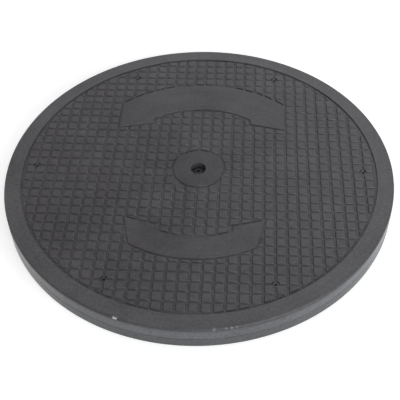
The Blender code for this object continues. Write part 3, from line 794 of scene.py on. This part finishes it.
# %% [markdown]
# ## The upper half
#
# The upper half is one moulding. It starts as a turned body: the hub with its hole, the
# sunken floor of the tread, the flat rim, the rounded outer edge and the drafted skirt, and
# underneath the channel that holds the bearing's race. Each corner that a hand would meet is
# an arc, because sharp corners catch no light. The outer edge is a quarter of an ellipse,
# taller than it is wide, as it looks on the real disc.

# %% Turned body of the upper half
RACE_CENTRE = 120 * MM
CHANNEL_HALF = race_high.x - RACE_CENTRE + FIT
LIP = 2.4 * MM
SEAT_DEPTH = 3.3 * MM
LIP_REACH = 1.3 * MM


def channel(foot, towards):
    """Outline of the channel for a race, outer foot first. towards is 1 up or -1 down."""
    seat = foot + towards * SEAT_DEPTH
    lip = seat + towards * LIP_REACH
    inner, outer = RACE_CENTRE - CHANNEL_HALF, RACE_CENTRE + CHANNEL_HALF
    return [
        (outer + LIP, foot),
        (outer + LIP, lip),
        (outer, lip),
        (outer, seat),
        (inner, seat),
        (inner, lip),
        (inner - LIP, lip),
        (inner - LIP, foot),
    ]


def turned_deck():
    hub_floor = TOP_FACE - HOLE_DEPTH
    hub_bottom = hub_floor - HUB_FLOOR_THICKNESS
    small = SMALL_ROUND
    edge = []
    for x, z in arc((0, 0), 1, 90, 0, 4 * CORNER_STEPS):
        edge.append((DISC_RADIUS - DRAFT + (x - 1) * EDGE_ROUND, TOP_FACE + (z - 1) * EDGE_DROP))
    profile = [
        (HUB_BORE, hub_floor),
        (HOLE_RADIUS, hub_floor),
        *arc((HOLE_RADIUS + small, TOP_FACE - small), small, 180, 90),
        *arc((HUB_RADIUS - SOFT_ROUND, TOP_FACE - SOFT_ROUND), SOFT_ROUND, 90, 0),
        (HUB_RADIUS, TREAD_FLOOR),
        (RIM_INNER, TREAD_FLOOR),
        *arc((RIM_INNER + small, TOP_FACE - small), small, 180, 90),
        *edge,
        *arc((DISC_RADIUS - SEAM_ROUND, SKIRT_BOTTOM + SEAM_ROUND), SEAM_ROUND, 0, -90),
        (SKIRT_INNER, SKIRT_BOTTOM),
        (SKIRT_INNER, UNDERSIDE),
        *channel(UNDERSIDE, -1),
        (HUB_BOSS, UNDERSIDE),
        (HUB_BOSS, hub_bottom),
        (HUB_BORE, hub_bottom),
    ]
    return lathe(profile)


# %% [markdown]
# ## Crescents
#
# The two crescents are raised pads, level with the rim, and plain where the rest is tread.
# Each has an arc outside and one inside, and a short wing at either end. A ring cut by planes
# would come near, but the wings have corners that such a cut doesn't give, so the outline is
# drawn point by point and raised into a slab. Its wall leans out to a slightly larger foot,
# and its upright corners and its top edge are rounded.

# %% Crescents
CRESCENT_INNER = 93.4 * MM
FAR_CRESCENT = (134.6 * MM, 89.7 * MM, (89.7 * MM, 61.9 * MM), (53.0 * MM, 70.5 * MM))
NEAR_CRESCENT = (119.5 * MM, 61.0 * MM, (69.3 * MM, 70.0 * MM), (38.5 * MM, 78.7 * MM))
ARC_POINTS = 48
CRESCENT_CORNER = 1.0 * MM
CRESCENT_SLOPE = 0.45 * MM
ROOT = 0.3 * MM


def crescent(shape, way, gap=0.0):
    """A crescent's outline, on the side way of the X axis, grown by gap."""
    outer, corner, tip, step = shape
    outer, inner = outer + gap, CRESCENT_INNER - gap
    corner, tip = corner + gap, (tip[0] + gap, tip[1] - gap)
    step = (step[0] - gap, step[1] - gap)
    outer_end = math.degrees(math.acos(corner / outer))
    inner_end = math.degrees(math.acos(step[0] / inner))
    points = [
        *arc((0, 0), outer, outer_end, 180 - outer_end, ARC_POINTS),
        (-tip[0], tip[1]),
        (-step[0], step[1]),
        *arc((0, 0), inner, 180 - inner_end, inner_end, ARC_POINTS),
        (step[0], step[1]),
        (tip[0], tip[1]),
    ]
    return [(way * x, way * y) for x, y in points]


def raised_crescent(shape, way):
    foot = crescent(shape, way, CRESCENT_SLOPE)
    bm = slab(crescent(shape, way), TREAD_FLOOR - ROOT, TOP_FACE, foot)
    upright = []
    for edge in bm.edges:
        tall = abs(edge.verts[0].co.z - edge.verts[1].co.z) > ROOT
        if tall and edge.calc_face_angle() > math.radians(20):
            upright.append(edge)
    round_edges(bm, upright, CRESCENT_CORNER, 4)
    round_edges(bm, top_outline(bm, TOP_FACE), SMALL_ROUND)
    return bm


# %% [markdown]
# ## Places of the screws
#
# Six small screws sit at crossings of the tread's grooves. Their places could be typed in, but
# the frame's screws already stand there, so the middle of each one's box gives its place. A
# set of six posts then serves again and again: for the clear patches in the tread, the
# bosses, the recesses and the bores.

# %% Screw places
SCREW_CLEARING = 3.8 * MM
SCREW_RECESS = 3.5 * MM
HEAD_HEIGHT = 1.3 * MM
HEAD_SEAT = TREAD_FLOOR - HEAD_HEIGHT
RECESS_FLOOR = HEAD_SEAT - FIT


def middle_of(node_name):
    low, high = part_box(node_name)
    return (low.x + high.x) / 2, (low.y + high.y) / 2


def posts(radius, low, high, steps=48):
    """A round post at each screw."""
    profile = [(0, low), (radius, low), (radius, high), (0, high)]
    return gather(*[lathe(profile, steps, spot) for spot in SCREW_PLACES])


SCREW_PLACES = [middle_of(f"shoe_screw_{number}") for number in range(1, 7)]
print("screws:", [(round(x / MM, 1), round(y / MM, 1)) for x, y in SCREW_PLACES])

# %% [markdown]
# ## Area of the tread
#
# The pads fill the ring between the hub and the rim, but for the crescents and the screws,
# which keep a narrow margin free. That area is a solid here: a ring with the crescents' and
# the screws' grown outlines cut out of it.

# %% Area of the tread
TREAD_INNER = 28.2 * MM
TREAD_OUTER = 180.7 * MM
OUTLINE_GAP = 2.4 * MM


def tread_area():
    low, high = TREAD_FLOOR - 2 * MM, TOP_FACE + 2 * MM
    ring = lathe([(TREAD_INNER, low), (TREAD_OUTER, low), (TREAD_OUTER, high), (TREAD_INNER, high)])
    deep, tall = low - MM, high + MM
    ring = combine(ring, slab(crescent(FAR_CRESCENT, 1, OUTLINE_GAP), deep, tall), "DIFFERENCE")
    ring = combine(ring, slab(crescent(NEAR_CRESCENT, -1, OUTLINE_GAP), deep, tall), "DIFFERENCE")
    return combine(ring, posts(SCREW_CLEARING, deep, tall), "DIFFERENCE")


# %% [markdown]
# ## Blocks of the tread
#
# The tread is a grid of small square pads with grooves between them. One pad could be
# repeated by an Array modifier. Here a grid of cells is inset cell by cell instead, because
# one operator then makes every groove: the frames between the cells are deleted, and what is
# left gets round corners and is pulled down into blocks that widen towards the floor, as
# moulded pads do.

# %% Blocks of the tread
PITCH = 11.28 * MM
GROOVE_FLOOR = 3.0 * MM
GROOVE_TOP = 4.3 * MM
PAD_CORNER = 1.2 * MM


def tread_grid():
    cells = 2 * math.ceil(TREAD_OUTER / PITCH)
    bm = bmesh.new()
    bmesh.ops.create_grid(
        bm,
        x_segments=cells,
        y_segments=cells,
        size=cells * PITCH / 2,
        matrix=Matrix.Translation((0, 0, TOP_FACE)),
    )
    frames = bmesh.ops.inset_individual(bm, faces=bm.faces[:], thickness=GROOVE_TOP / 2, depth=0)
    bmesh.ops.delete(bm, geom=frames["faces"], context="FACES")
    outside = []
    for face in bm.faces:
        away = face.calc_center_median().xy.length
        if not TREAD_INNER - PITCH < away < TREAD_OUTER + PITCH:
            outside.append(face)
    bmesh.ops.delete(bm, geom=outside, context="FACES")
    bmesh.ops.bevel(
        bm,
        geom=bm.verts[:],
        offset=PAD_CORNER,
        segments=2,
        profile=0.5,
        affect="VERTICES",
        material=-1,
    )
    sunk = bmesh.ops.extrude_face_region(bm, geom=bm.faces[:])
    feet = [item for item in sunk["geom"] if isinstance(item, bmesh.types.BMFace)]
    widening = (PITCH - GROOVE_FLOOR) / (PITCH - GROOVE_TOP)
    for face in feet:
        middle = face.calc_center_bounds()
        for vert in face.verts:
            vert.co = middle + (vert.co - middle) * widening
            vert.co.z = TREAD_FLOOR - ROOT
    bmesh.ops.recalc_face_normals(bm, faces=bm.faces)
    return bm


# %% [markdown]
# ## Trimmed pads
#
# Along the rim, the hub, the crescents and the screws the pads are cut off in odd shapes.
# Deleting the pads that don't fit would leave a ragged border. Crossing the blocks with the
# tread's area trims them as the mould-maker's cutter did. What is then too thin to be
# moulded goes, and the pads' top edges are rounded.

# %% Pads
SMALLEST_PAD = 4.0 * MM * MM


def island(vert):
    """All the vertices joined to one."""
    found, edge_of_search = {vert}, [vert]
    while edge_of_search:
        for edge in edge_of_search.pop().link_edges:
            for other in edge.verts:
                if other not in found:
                    found.add(other)
                    edge_of_search.append(other)
    return found


def tread_pads():
    bm = combine(tread_grid(), tread_area(), "INTERSECT")
    bmesh.ops.dissolve_limit(bm, angle_limit=math.radians(1), verts=bm.verts, edges=bm.edges)
    tops = [face for face in bm.faces if face.normal.z > 0.9]
    thin = [face for face in tops if face.calc_area() < SMALLEST_PAD]
    slivers = set()
    for face in thin:
        slivers |= island(face.verts[0])
    print(f"tread: {len(tops) - len(thin)} pads, {len(thin)} slivers taken away")
    bmesh.ops.delete(bm, geom=list(slivers), context="VERTS")
    round_edges(bm, top_outline(bm, TOP_FACE), SMALL_ROUND)
    return bm


# %% [markdown]
# ## Ribs, bosses and bores
#
# Underneath, ribs stiffen the plate and a boss stands over each glide shoe. They only show
# when the halves are apart, but they make the moulding true. A rib is a stretched cube that
# is turned to its place, because the operator that makes the cube takes its place as a
# matrix. Each boss is bored for the shoe's stem, and each screw has its recess in the tread.
# All of it is joined and cut in the order in which a mould-maker would think of it: body,
# crescents, ribs, bosses, pads, holes.

# %% Upper half
RIB_COUNT = 12
RIB_THICKNESS = 2.0 * MM
PAN_RIB_HEIGHT = 2.0 * MM
BITE = 1.0 * MM
BOSS_RADIUS = 6.0 * MM
STEM_BORE = 3.5 * MM
SCREW_BORE = 2.05 * MM
BOSS_BOTTOM = SKIRT_BOTTOM + 0.2 * MM


def ribs(spans, low, high):
    """Radial ribs between the radii of each span, halfway between the screws."""
    bm = bmesh.new()
    for inner, outer in spans:
        size = Matrix.Diagonal((outer - inner + 2 * BITE, RIB_THICKNESS, high - low, 1))
        out = Matrix.Translation(((inner + outer) / 2, 0, (low + high) / 2))
        for i in range(RIB_COUNT):
            turn = Matrix.Rotation(math.tau * (i + 0.5) / RIB_COUNT, 4, "Z")
            bmesh.ops.create_cube(bm, size=1.0, matrix=turn @ out @ size)
    return bm


LIP_INNER_FOOT = RACE_CENTRE - CHANNEL_HALF - LIP
LIP_OUTER_FOOT = RACE_CENTRE + CHANNEL_HALF + LIP


def upper_half():
    bm = combine(turned_deck(), raised_crescent(FAR_CRESCENT, 1), "UNION")
    bm = combine(bm, raised_crescent(NEAR_CRESCENT, -1), "UNION")
    spans = ((HUB_BOSS, LIP_INNER_FOOT), (LIP_OUTER_FOOT, SKIRT_INNER))
    bm = combine(bm, ribs(spans, UNDERSIDE - SEAT_DEPTH, UNDERSIDE + BITE), "UNION")
    shoe_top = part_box("glide_shoe_1")[1].z
    bm = combine(bm, posts(BOSS_RADIUS, BOSS_BOTTOM, UNDERSIDE + BITE), "UNION")
    bm = combine(bm, tread_pads(), "UNION")
    bm = combine(bm, posts(SCREW_RECESS, RECESS_FLOOR, TOP_FACE + BITE), "DIFFERENCE")
    bm = combine(bm, posts(SCREW_BORE, BOSS_BOTTOM, TOP_FACE), "DIFFERENCE")
    return combine(bm, posts(STEM_BORE, BOSS_BOTTOM - BITE, shoe_top + FIT), "DIFFERENCE")


add_piece("upper_half", upper_half(), TOP_PLASTIC, "top", "moulded_top_plastic", "top_plate")

# %% [markdown]
# ## The lower half
#
# The lower half is a closed pan. Its wall leans in towards the floor, so that it leaves the
# mould, and stands under the skirt with a narrow seam between them. A lip inside keeps dust
# from the bearing, a track carries the glide shoes, and the feet sit in round recesses. Like
# the upper half, it is one turned outline, with ribs joined to it and the recesses cut out.

# %% Lower half
WALL = 2.8 * MM
PAN_FLOOR = BASE_BOTTOM + 3.0 * MM
LIP_OUTER = SKIRT_INNER - 1.6 * MM
LIP_INNER = LIP_OUTER - 2.0 * MM
TRACK_TOP = PAN_FLOOR + 2.0 * MM
TRACK_INNER = 156.9 * MM
TRACK_OUTER = 181.5 * MM
POST_RADIUS = 12.0 * MM
POST_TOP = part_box("thrust_washer")[0].z - FIT
SCREW_HOLE = 3.3 * MM
BOTTOM_ROUND = 0.5 * MM
LEAN = 0.2 * MM
FOOT_DEPTH = 2.0 * MM
FOOT_PLACES = [middle_of(f"rubber_foot_{number}") for number in range(1, 9)]
FOOT_LOW, FOOT_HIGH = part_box("rubber_foot_8")
FOOT_RADIUS = (FOOT_HIGH.x - FOOT_LOW.x) / 2


def turned_pan():
    small = SEAM_ROUND
    foot_of_wall = (DISC_RADIUS - LEAN - BOTTOM_ROUND, BASE_BOTTOM + BOTTOM_ROUND)
    profile = [
        (SCREW_HOLE, BASE_BOTTOM),
        (SCREW_HOLE, POST_TOP),
        (POST_RADIUS, POST_TOP),
        (POST_RADIUS, PAN_FLOOR),
        *reversed(channel(PAN_FLOOR, 1)),
        (TRACK_INNER, PAN_FLOOR),
        (TRACK_INNER, TRACK_TOP),
        (TRACK_OUTER, TRACK_TOP),
        (TRACK_OUTER, PAN_FLOOR),
        (LIP_INNER, PAN_FLOOR),
        (LIP_INNER, LIP_TOP),
        (LIP_OUTER, LIP_TOP),
        (LIP_OUTER, PAN_FLOOR),
        (DISC_RADIUS - WALL, PAN_FLOOR),
        (DISC_RADIUS - WALL, BASE_TOP),
        *arc((DISC_RADIUS - small, BASE_TOP - small), small, 90, 0),
        *arc(foot_of_wall, BOTTOM_ROUND, 0, -90),
    ]
    return lathe(profile)


def lower_half():
    spans = ((POST_RADIUS, LIP_INNER_FOOT), (LIP_OUTER_FOOT, TRACK_INNER), (TRACK_OUTER, LIP_INNER))
    bm = combine(turned_pan(), ribs(spans, PAN_FLOOR - BITE, PAN_FLOOR + PAN_RIB_HEIGHT), "UNION")
    below = BASE_BOTTOM - BITE
    radius, top = FOOT_RADIUS + FIT, BASE_BOTTOM + FOOT_DEPTH
    cup = [(0, below), (radius, below), (radius, top), (0, top)]
    bm = combine(bm, gather(*[lathe(cup, 64, spot) for spot in FOOT_PLACES]), "DIFFERENCE")
    nut_low, nut_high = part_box("lock_nut")
    flats = nut_high.y - nut_low.y + 2 * FIT
    corners = arc((0, 0), flats / 2 / math.cos(math.pi / 6), 0, 300, 5)
    return combine(bm, slab(corners, below, nut_high.z + FIT), "DIFFERENCE")


add_piece("lower_half", lower_half(), BASE_PLASTIC, "base", "moulded_base_plastic", "base_plate")

# %% [markdown]
# ## Feet
#
# Each foot is a round rubber pad. Two rings are moulded into its underside for grip, and its
# lower edge is chamfered, so the pad doesn't peel off when the disc is pushed. A plain
# cylinder would do from above, but the disc is also seen from below, so the grooves are in
# the outline that is spun.

# %% Rubber feet
GRIP_RINGS = (3.6 * MM, 7.4 * MM)
GRIP_WIDTH = 1.2 * MM
GRIP_DEPTH = 0.5 * MM
GRIP_SLOPE = 0.2 * MM
FOOT_CHAMFER = 0.5 * MM
FOOT_ROUND = 0.3 * MM


def foot(spot):
    profile = [(0, 0)]
    for ring in GRIP_RINGS:
        inner, outer = ring - GRIP_WIDTH / 2, ring + GRIP_WIDTH / 2
        profile += [
            (inner, 0),
            (inner + GRIP_SLOPE, GRIP_DEPTH),
            (outer - GRIP_SLOPE, GRIP_DEPTH),
            (outer, 0),
        ]
    profile += [
        (FOOT_RADIUS - FOOT_CHAMFER, 0),
        (FOOT_RADIUS, FOOT_CHAMFER),
        *arc((FOOT_RADIUS - FOOT_ROUND, FOOT_HIGH.z - FOOT_ROUND), FOOT_ROUND, 0, 90),
        (0, FOOT_HIGH.z),
    ]
    return lathe(profile, 64, spot)


for number, spot in enumerate(FOOT_PLACES, 1):
    add_piece(f"foot_pad_{number}", foot(spot), RUBBER, "base", "foot_rubber", f"rubber_foot_{number}")

# %% [markdown]
# ## Small screws
#
# The six small screws lie sunk in the tread and hold the glide shoes. Each has a flat head
# with a rounded edge and a cross for the driver. The cross could be a dark patch in the
# material, but a real one has walls that catch the light, so it is cut: two crossed wedges
# that narrow towards the bottom, as a driver's bit does, with a cone where they meet. The
# heads end up turned at random, as real ones do, but by angles that are written here, so that
# every run gives the same.

# %% Small screws
SCREW_TIP, SCREW_TOP = [corner.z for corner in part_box("shoe_screw_1")]
HEAD_RADIUS = 3.4 * MM
SHANK_RADIUS = 1.75 * MM
HEAD_ROUND = 0.5 * MM
CROSS_LENGTH = 4.0 * MM
CROSS_WIDTH = 1.3 * MM
CROSS_DEPTH = 1.9 * MM
CORE_RADIUS = 1.8 * MM
WEDGE_SHORTENS = 0.45
WEDGE_THINS = 0.7
HEAD_TURNS = (12, 57, 83, 31, 68, 5)


def driver_cross(spot, turn):
    """Two crossed wedges, wide at the head's face and narrow below, with a cone in their middle."""
    wedges = []
    for quarter in (0, 90):
        bm = bmesh.new()
        shape = Matrix.Diagonal((CROSS_LENGTH, CROSS_WIDTH, 2 * CROSS_DEPTH, 1))
        bmesh.ops.create_cube(bm, size=1.0, matrix=shape)
        for vert in bm.verts:
            if vert.co.z < 0:
                vert.co.x *= WEDGE_SHORTENS
                vert.co.y *= WEDGE_THINS
        spin = Matrix.Rotation(math.radians(turn + quarter), 4, "Z")
        bmesh.ops.transform(bm, matrix=Matrix.Translation((*spot, SCREW_TOP)) @ spin, verts=bm.verts)
        wedges.append(bm)
    cross = combine(wedges[0], wedges[1], "UNION")
    cone = [
        (0, SCREW_TOP - CROSS_DEPTH),
        (0.5 * CORE_RADIUS, SCREW_TOP - CROSS_DEPTH),
        (CORE_RADIUS, SCREW_TOP),
        (CORE_RADIUS, SCREW_TOP + MM),
        (0, SCREW_TOP + MM),
    ]
    return combine(cross, lathe(cone, 24, spot), "UNION")


def small_screw(spot, turn):
    profile = [
        (0, SCREW_TOP),
        *arc((HEAD_RADIUS - HEAD_ROUND, SCREW_TOP - HEAD_ROUND), HEAD_ROUND, 90, 0),
        (HEAD_RADIUS, HEAD_SEAT),
        (SHANK_RADIUS, HEAD_SEAT),
        (SHANK_RADIUS, SCREW_TIP + SHANK_RADIUS),
        (0, SCREW_TIP),
    ]
    return combine(lathe(profile, 40, spot), driver_cross(spot, turn), "DIFFERENCE")


for number, (spot, turn) in enumerate(zip(SCREW_PLACES, HEAD_TURNS), 1):
    screw = small_screw(spot, turn)
    add_piece(f"sunk_screw_{number}", screw, DARK_ZINC, "top", "shoe_screw_zinc", f"shoe_screw_{number}")

# %% [markdown]
# ## The middle screw
#
# The screw in the middle lies deep in the hub's hole. Its head is flat on top, with a wide
# rounding and a six-sided socket, and a washer under it keeps the hub from lifting off. It is
# turned and then cut, as a real one is: the socket is a six-cornered slab, and a short cone
# chamfers its mouth. The washer and the parts below keep their shapes from the frame.

# %% Middle screw
MID_LOW, MID_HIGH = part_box("centre_screw")
MID_TIP, MID_TOP = MID_LOW.z, MID_HIGH.z
MID_HEAD_RADIUS = MID_HIGH.x
MID_HEAD_ROUND = 1.8 * MM
MID_SEAT = MID_TOP - 3.3 * MM
MID_SHANK = 3.0 * MM
TIP_CHAMFER = 0.6 * MM
SOCKET = 4.0 * MM
SOCKET_DEPTH = 2.0 * MM
MOUTH_DEPTH = 0.3 * MM
MOUTH_WIDE = 2.5 * MM
MOUTH_NARROW = 2.0 * MM


def middle_screw():
    profile = [
        (0, MID_TOP),
        *arc((MID_HEAD_RADIUS - MID_HEAD_ROUND, MID_TOP - MID_HEAD_ROUND), MID_HEAD_ROUND, 90, 0, 8),
        (MID_HEAD_RADIUS, MID_SEAT),
        (MID_SHANK, MID_SEAT),
        (MID_SHANK, MID_TIP + TIP_CHAMFER),
        (MID_SHANK - TIP_CHAMFER, MID_TIP),
        (0, MID_TIP),
    ]
    corners = arc((0, 0), SOCKET / 2 / math.cos(math.pi / 6), 15, 315, 5)
    above = MID_TOP + 0.1 * MM
    mouth = [
        (0, above),
        (MOUTH_WIDE, above),
        (MOUTH_NARROW, MID_TOP - MOUTH_DEPTH),
        (0, MID_TOP - MOUTH_DEPTH),
    ]
    bm = combine(lathe(profile, 72), slab(corners, MID_TOP - SOCKET_DEPTH, MID_TOP + MM), "DIFFERENCE")
    return combine(bm, lathe(mouth, 48), "DIFFERENCE")


add_piece("middle_screw", middle_screw(), BLACK_STEEL, "base", "centre_screw_steel", "centre_screw")

# %% [markdown]
# ## Finishes for the frame's own pieces
#
# The bearing, the washers, the nut and the shoes keep their shapes from the frame, because a
# turned ring or a ball is already right there. Each takes its finish by its record slot, so
# that one table serves for all 54 nodes.

# %% Frame pieces
FINISHES = {
    "upper_race_steel": UPPER_RACE_STEEL,
    "lower_race_steel": LOWER_RACE_STEEL,
    "cage_nylon": NYLON,
    "ball_steel": BALL_STEEL,
    "retaining_washer_zinc": ZINC_WASHER,
    "spacer_sleeve_steel": SLEEVE_STEEL,
    "thrust_washer_acetal": WASHER_ACETAL,
    "lock_nut_zinc": ZINC_NUT,
    "glide_shoe_acetal": SHOE_ACETAL,
    "moulded_top_plastic": TOP_PLASTIC,
    "moulded_base_plastic": BASE_PLASTIC,
    "shoe_screw_zinc": DARK_ZINC,
    "centre_screw_steel": BLACK_STEEL,
    "foot_rubber": RUBBER,
}
for row in frame["record"]["subparts"]:
    slots = frame["nodes"][row["node"]].data.materials
    slots.clear()
    slots.append(FINISHES[row["material_slot"]])

# %% [markdown]
# ## Floor
#
# The disc lies on a plain white floor, which keeps its soft shadow. A floor that is lit until
# it is white would put too much light on the disc. So the floor's own colour is a pale grey
# that shows the shadow, and a little glow, which only the camera and reflections see, lifts it
# to white. It is round and wide enough to reach past the edge of every picture.

# %% Floor
FLOOR_RADIUS = 2.4
SEEN_LIFT = 0.55
MIRRORED_LIFT = 0.30


def seen_rays(tree, straight, mirrored):
    """One value for rays from the camera, one for reflections, and 0 for light that falls."""
    path = node(tree, "ShaderNodeLightPath").outputs
    bent = maths(tree, "MAXIMUM", path["Is Glossy Ray"], path["Is Transmission Ray"])
    seen = maths(tree, "MULTIPLY", path["Is Camera Ray"], straight)
    return maths(tree, "MAXIMUM", seen, maths(tree, "MULTIPLY", bent, mirrored))


def make_floor():
    bm = bmesh.new()
    bmesh.ops.create_circle(bm, cap_ends=True, segments=96, radius=FLOOR_RADIUS)
    floor = solid_object("floor", bm)
    material, tree = start_material("pale_floor")
    shader = shader_of(material)
    shader.inputs["Base Color"].default_value = (0.80, 0.80, 0.80, 1)
    shader.inputs["Roughness"].default_value = 0.9
    shader.inputs["Specular IOR Level"].default_value = 0.1
    shader.inputs["Emission Color"].default_value = (1, 1, 1, 1)
    tree.links.new(seen_rays(tree, SEEN_LIFT, MIRRORED_LIFT), shader.inputs["Emission Strength"])
    floor.data.materials.append(material)
    print(f"floor: {2 * FLOOR_RADIUS:.1f} m across")


make_floor()

# %% [markdown]
# ## Lamps
#
# The lamps are wide soft boxes, as for a product picture. The strongest stands at the front
# right at middle height and lights the tread and the right of the edge, with a weaker one
# low on the right. A low one behind grazes the pads from the far side, so that their near
# walls stay dark and the grooves show. Weak ones above, on the left and behind fill the
# shade. One bright lamp could give as much light, but it would leave a hard shadow and one
# harsh glint. Three of them are a little blue and two a little warm, as the photo's light is.

# %% Lamps
NEUTRAL = (1.0, 1.0, 1.0)
COOL = (0.88, 0.95, 1.0)
PALE_BLUE = (0.95, 0.98, 1.0)
WARM = (1.0, 0.96, 0.91)
LAMPS = (
    # name, place, width, height, power, colour
    ("high_back_right", (1.0, 1.2, 1.6), 2.0, 1.4, 7.9, COOL),
    ("low_back", (0.0, 2.8, 0.9), 3.0, 1.0, 21.2, NEUTRAL),
    ("overhead", (0.0, 0.3, 2.6), 2.4, 2.4, 7.0, NEUTRAL),
    ("wide_front_right", (1.30, -2.04, 1.20), 2.6, 1.3, 55.0, PALE_BLUE),
    ("wide_right", (2.36, -0.86, 0.67), 2.6, 1.3, 11.5, COOL),
    ("front_left", (-1.6, -1.6, 1.5), 1.6, 1.4, 5.7, WARM),
    ("back_left", (-2.2, 1.2, 1.6), 1.8, 1.5, 12.3, WARM),
)


def make_lamp(name, place, width, height, power, colour):
    data = bpy.data.lights.new(name, "AREA")
    data.shape = "RECTANGLE"
    data.size = width
    data.size_y = height
    data.energy = power
    data.color = colour
    lamp = bpy.data.objects.new(name, data)
    lamp.location = place
    lamp.rotation_euler = (-Vector(place)).to_track_quat("-Z", "Y").to_euler()
    bpy.context.scene.collection.objects.link(lamp)
    print(f"{name}: {power} W")


for lamp in LAMPS:
    make_lamp(*lamp)

# %% [markdown]
# ## World
#
# The world stands for the rest of the room. It gives a little light from all round, and the
# camera sees it as white, so the background is white past the floor as well. That white
# mustn't light the disc, or its dark plastic would go pale, so only camera rays get it.

# %% World
ROOM_LIGHT = (0.12, 0.12, 0.12, 1)


def make_world():
    world = bpy.data.worlds.new("studio")
    bpy.context.scene.world = world
    world.use_nodes = True
    tree = world.node_tree
    background = tree.nodes["Background"]
    path = node(tree, "ShaderNodeLightPath").outputs
    shade = mix_colour(tree, path["Is Camera Ray"], ROOM_LIGHT, (1.0, 1.0, 1.0, 1))
    tree.links.new(shade, background.inputs["Color"])
    background.inputs["Strength"].default_value = 1.0


make_world()
bpy.context.scene.view_settings.view_transform = "Standard"

# %% [markdown]
# ## Camera
#
# The camera's place was worked out from the photograph: the ellipse of the rim gives the
# height and the distance, the tread's rows give the turn, and the disc's middle lies a little
# off the middle of the picture, so the camera aims past it. Moving a camera by eye gets near,
# but an ellipse and straight rows fix it to a fraction of a pixel. The picture is 400 pixels
# wide.

# %% Camera
PICTURE_SIDE = 400
FOCAL_PIXELS = 814.2
MIDDLE_PIXEL = (198.25, 168.21)
ELEVATION = math.radians(44.78)
ROLL = math.radians(-2.07)
TURN = math.radians(4.78)
DISTANCE = 0.8438
SENSOR = 36.0


def make_camera():
    forward = Vector((0, math.cos(ELEVATION), -math.sin(ELEVATION)))
    right = Vector((1, 0, 0))
    down = forward.cross(right)
    level = Matrix((right, down, forward)).transposed()
    off_x, off_y = [(pixel - PICTURE_SIDE / 2) / FOCAL_PIXELS for pixel in MIDDLE_PIXEL]
    to_middle = Vector((off_x, off_y, 1)).normalized()
    aside = Vector((0, 0, 1)).rotation_difference(to_middle).to_matrix()
    axes = level @ Matrix.Rotation(ROLL, 3, "Z").transposed() @ aside.transposed()
    turn = Matrix.Rotation(TURN, 3, "Z")
    view = turn @ Matrix((axes.col[0], -axes.col[1], -axes.col[2])).transposed()
    place = turn @ (-forward * DISTANCE) + Vector((0, 0, TOP_FACE))
    data = bpy.data.cameras.new("camera")
    data.sensor_width = SENSOR
    data.lens = FOCAL_PIXELS * SENSOR / PICTURE_SIDE
    camera = bpy.data.objects.new("camera", data)
    camera.matrix_world = Matrix.Translation(place) @ view.to_4x4()
    bpy.context.scene.collection.objects.link(camera)
    bpy.context.scene.camera = camera
    print("camera:", [round(value, 3) for value in place], f"with a lens of {data.lens:.1f} mm")


make_camera()
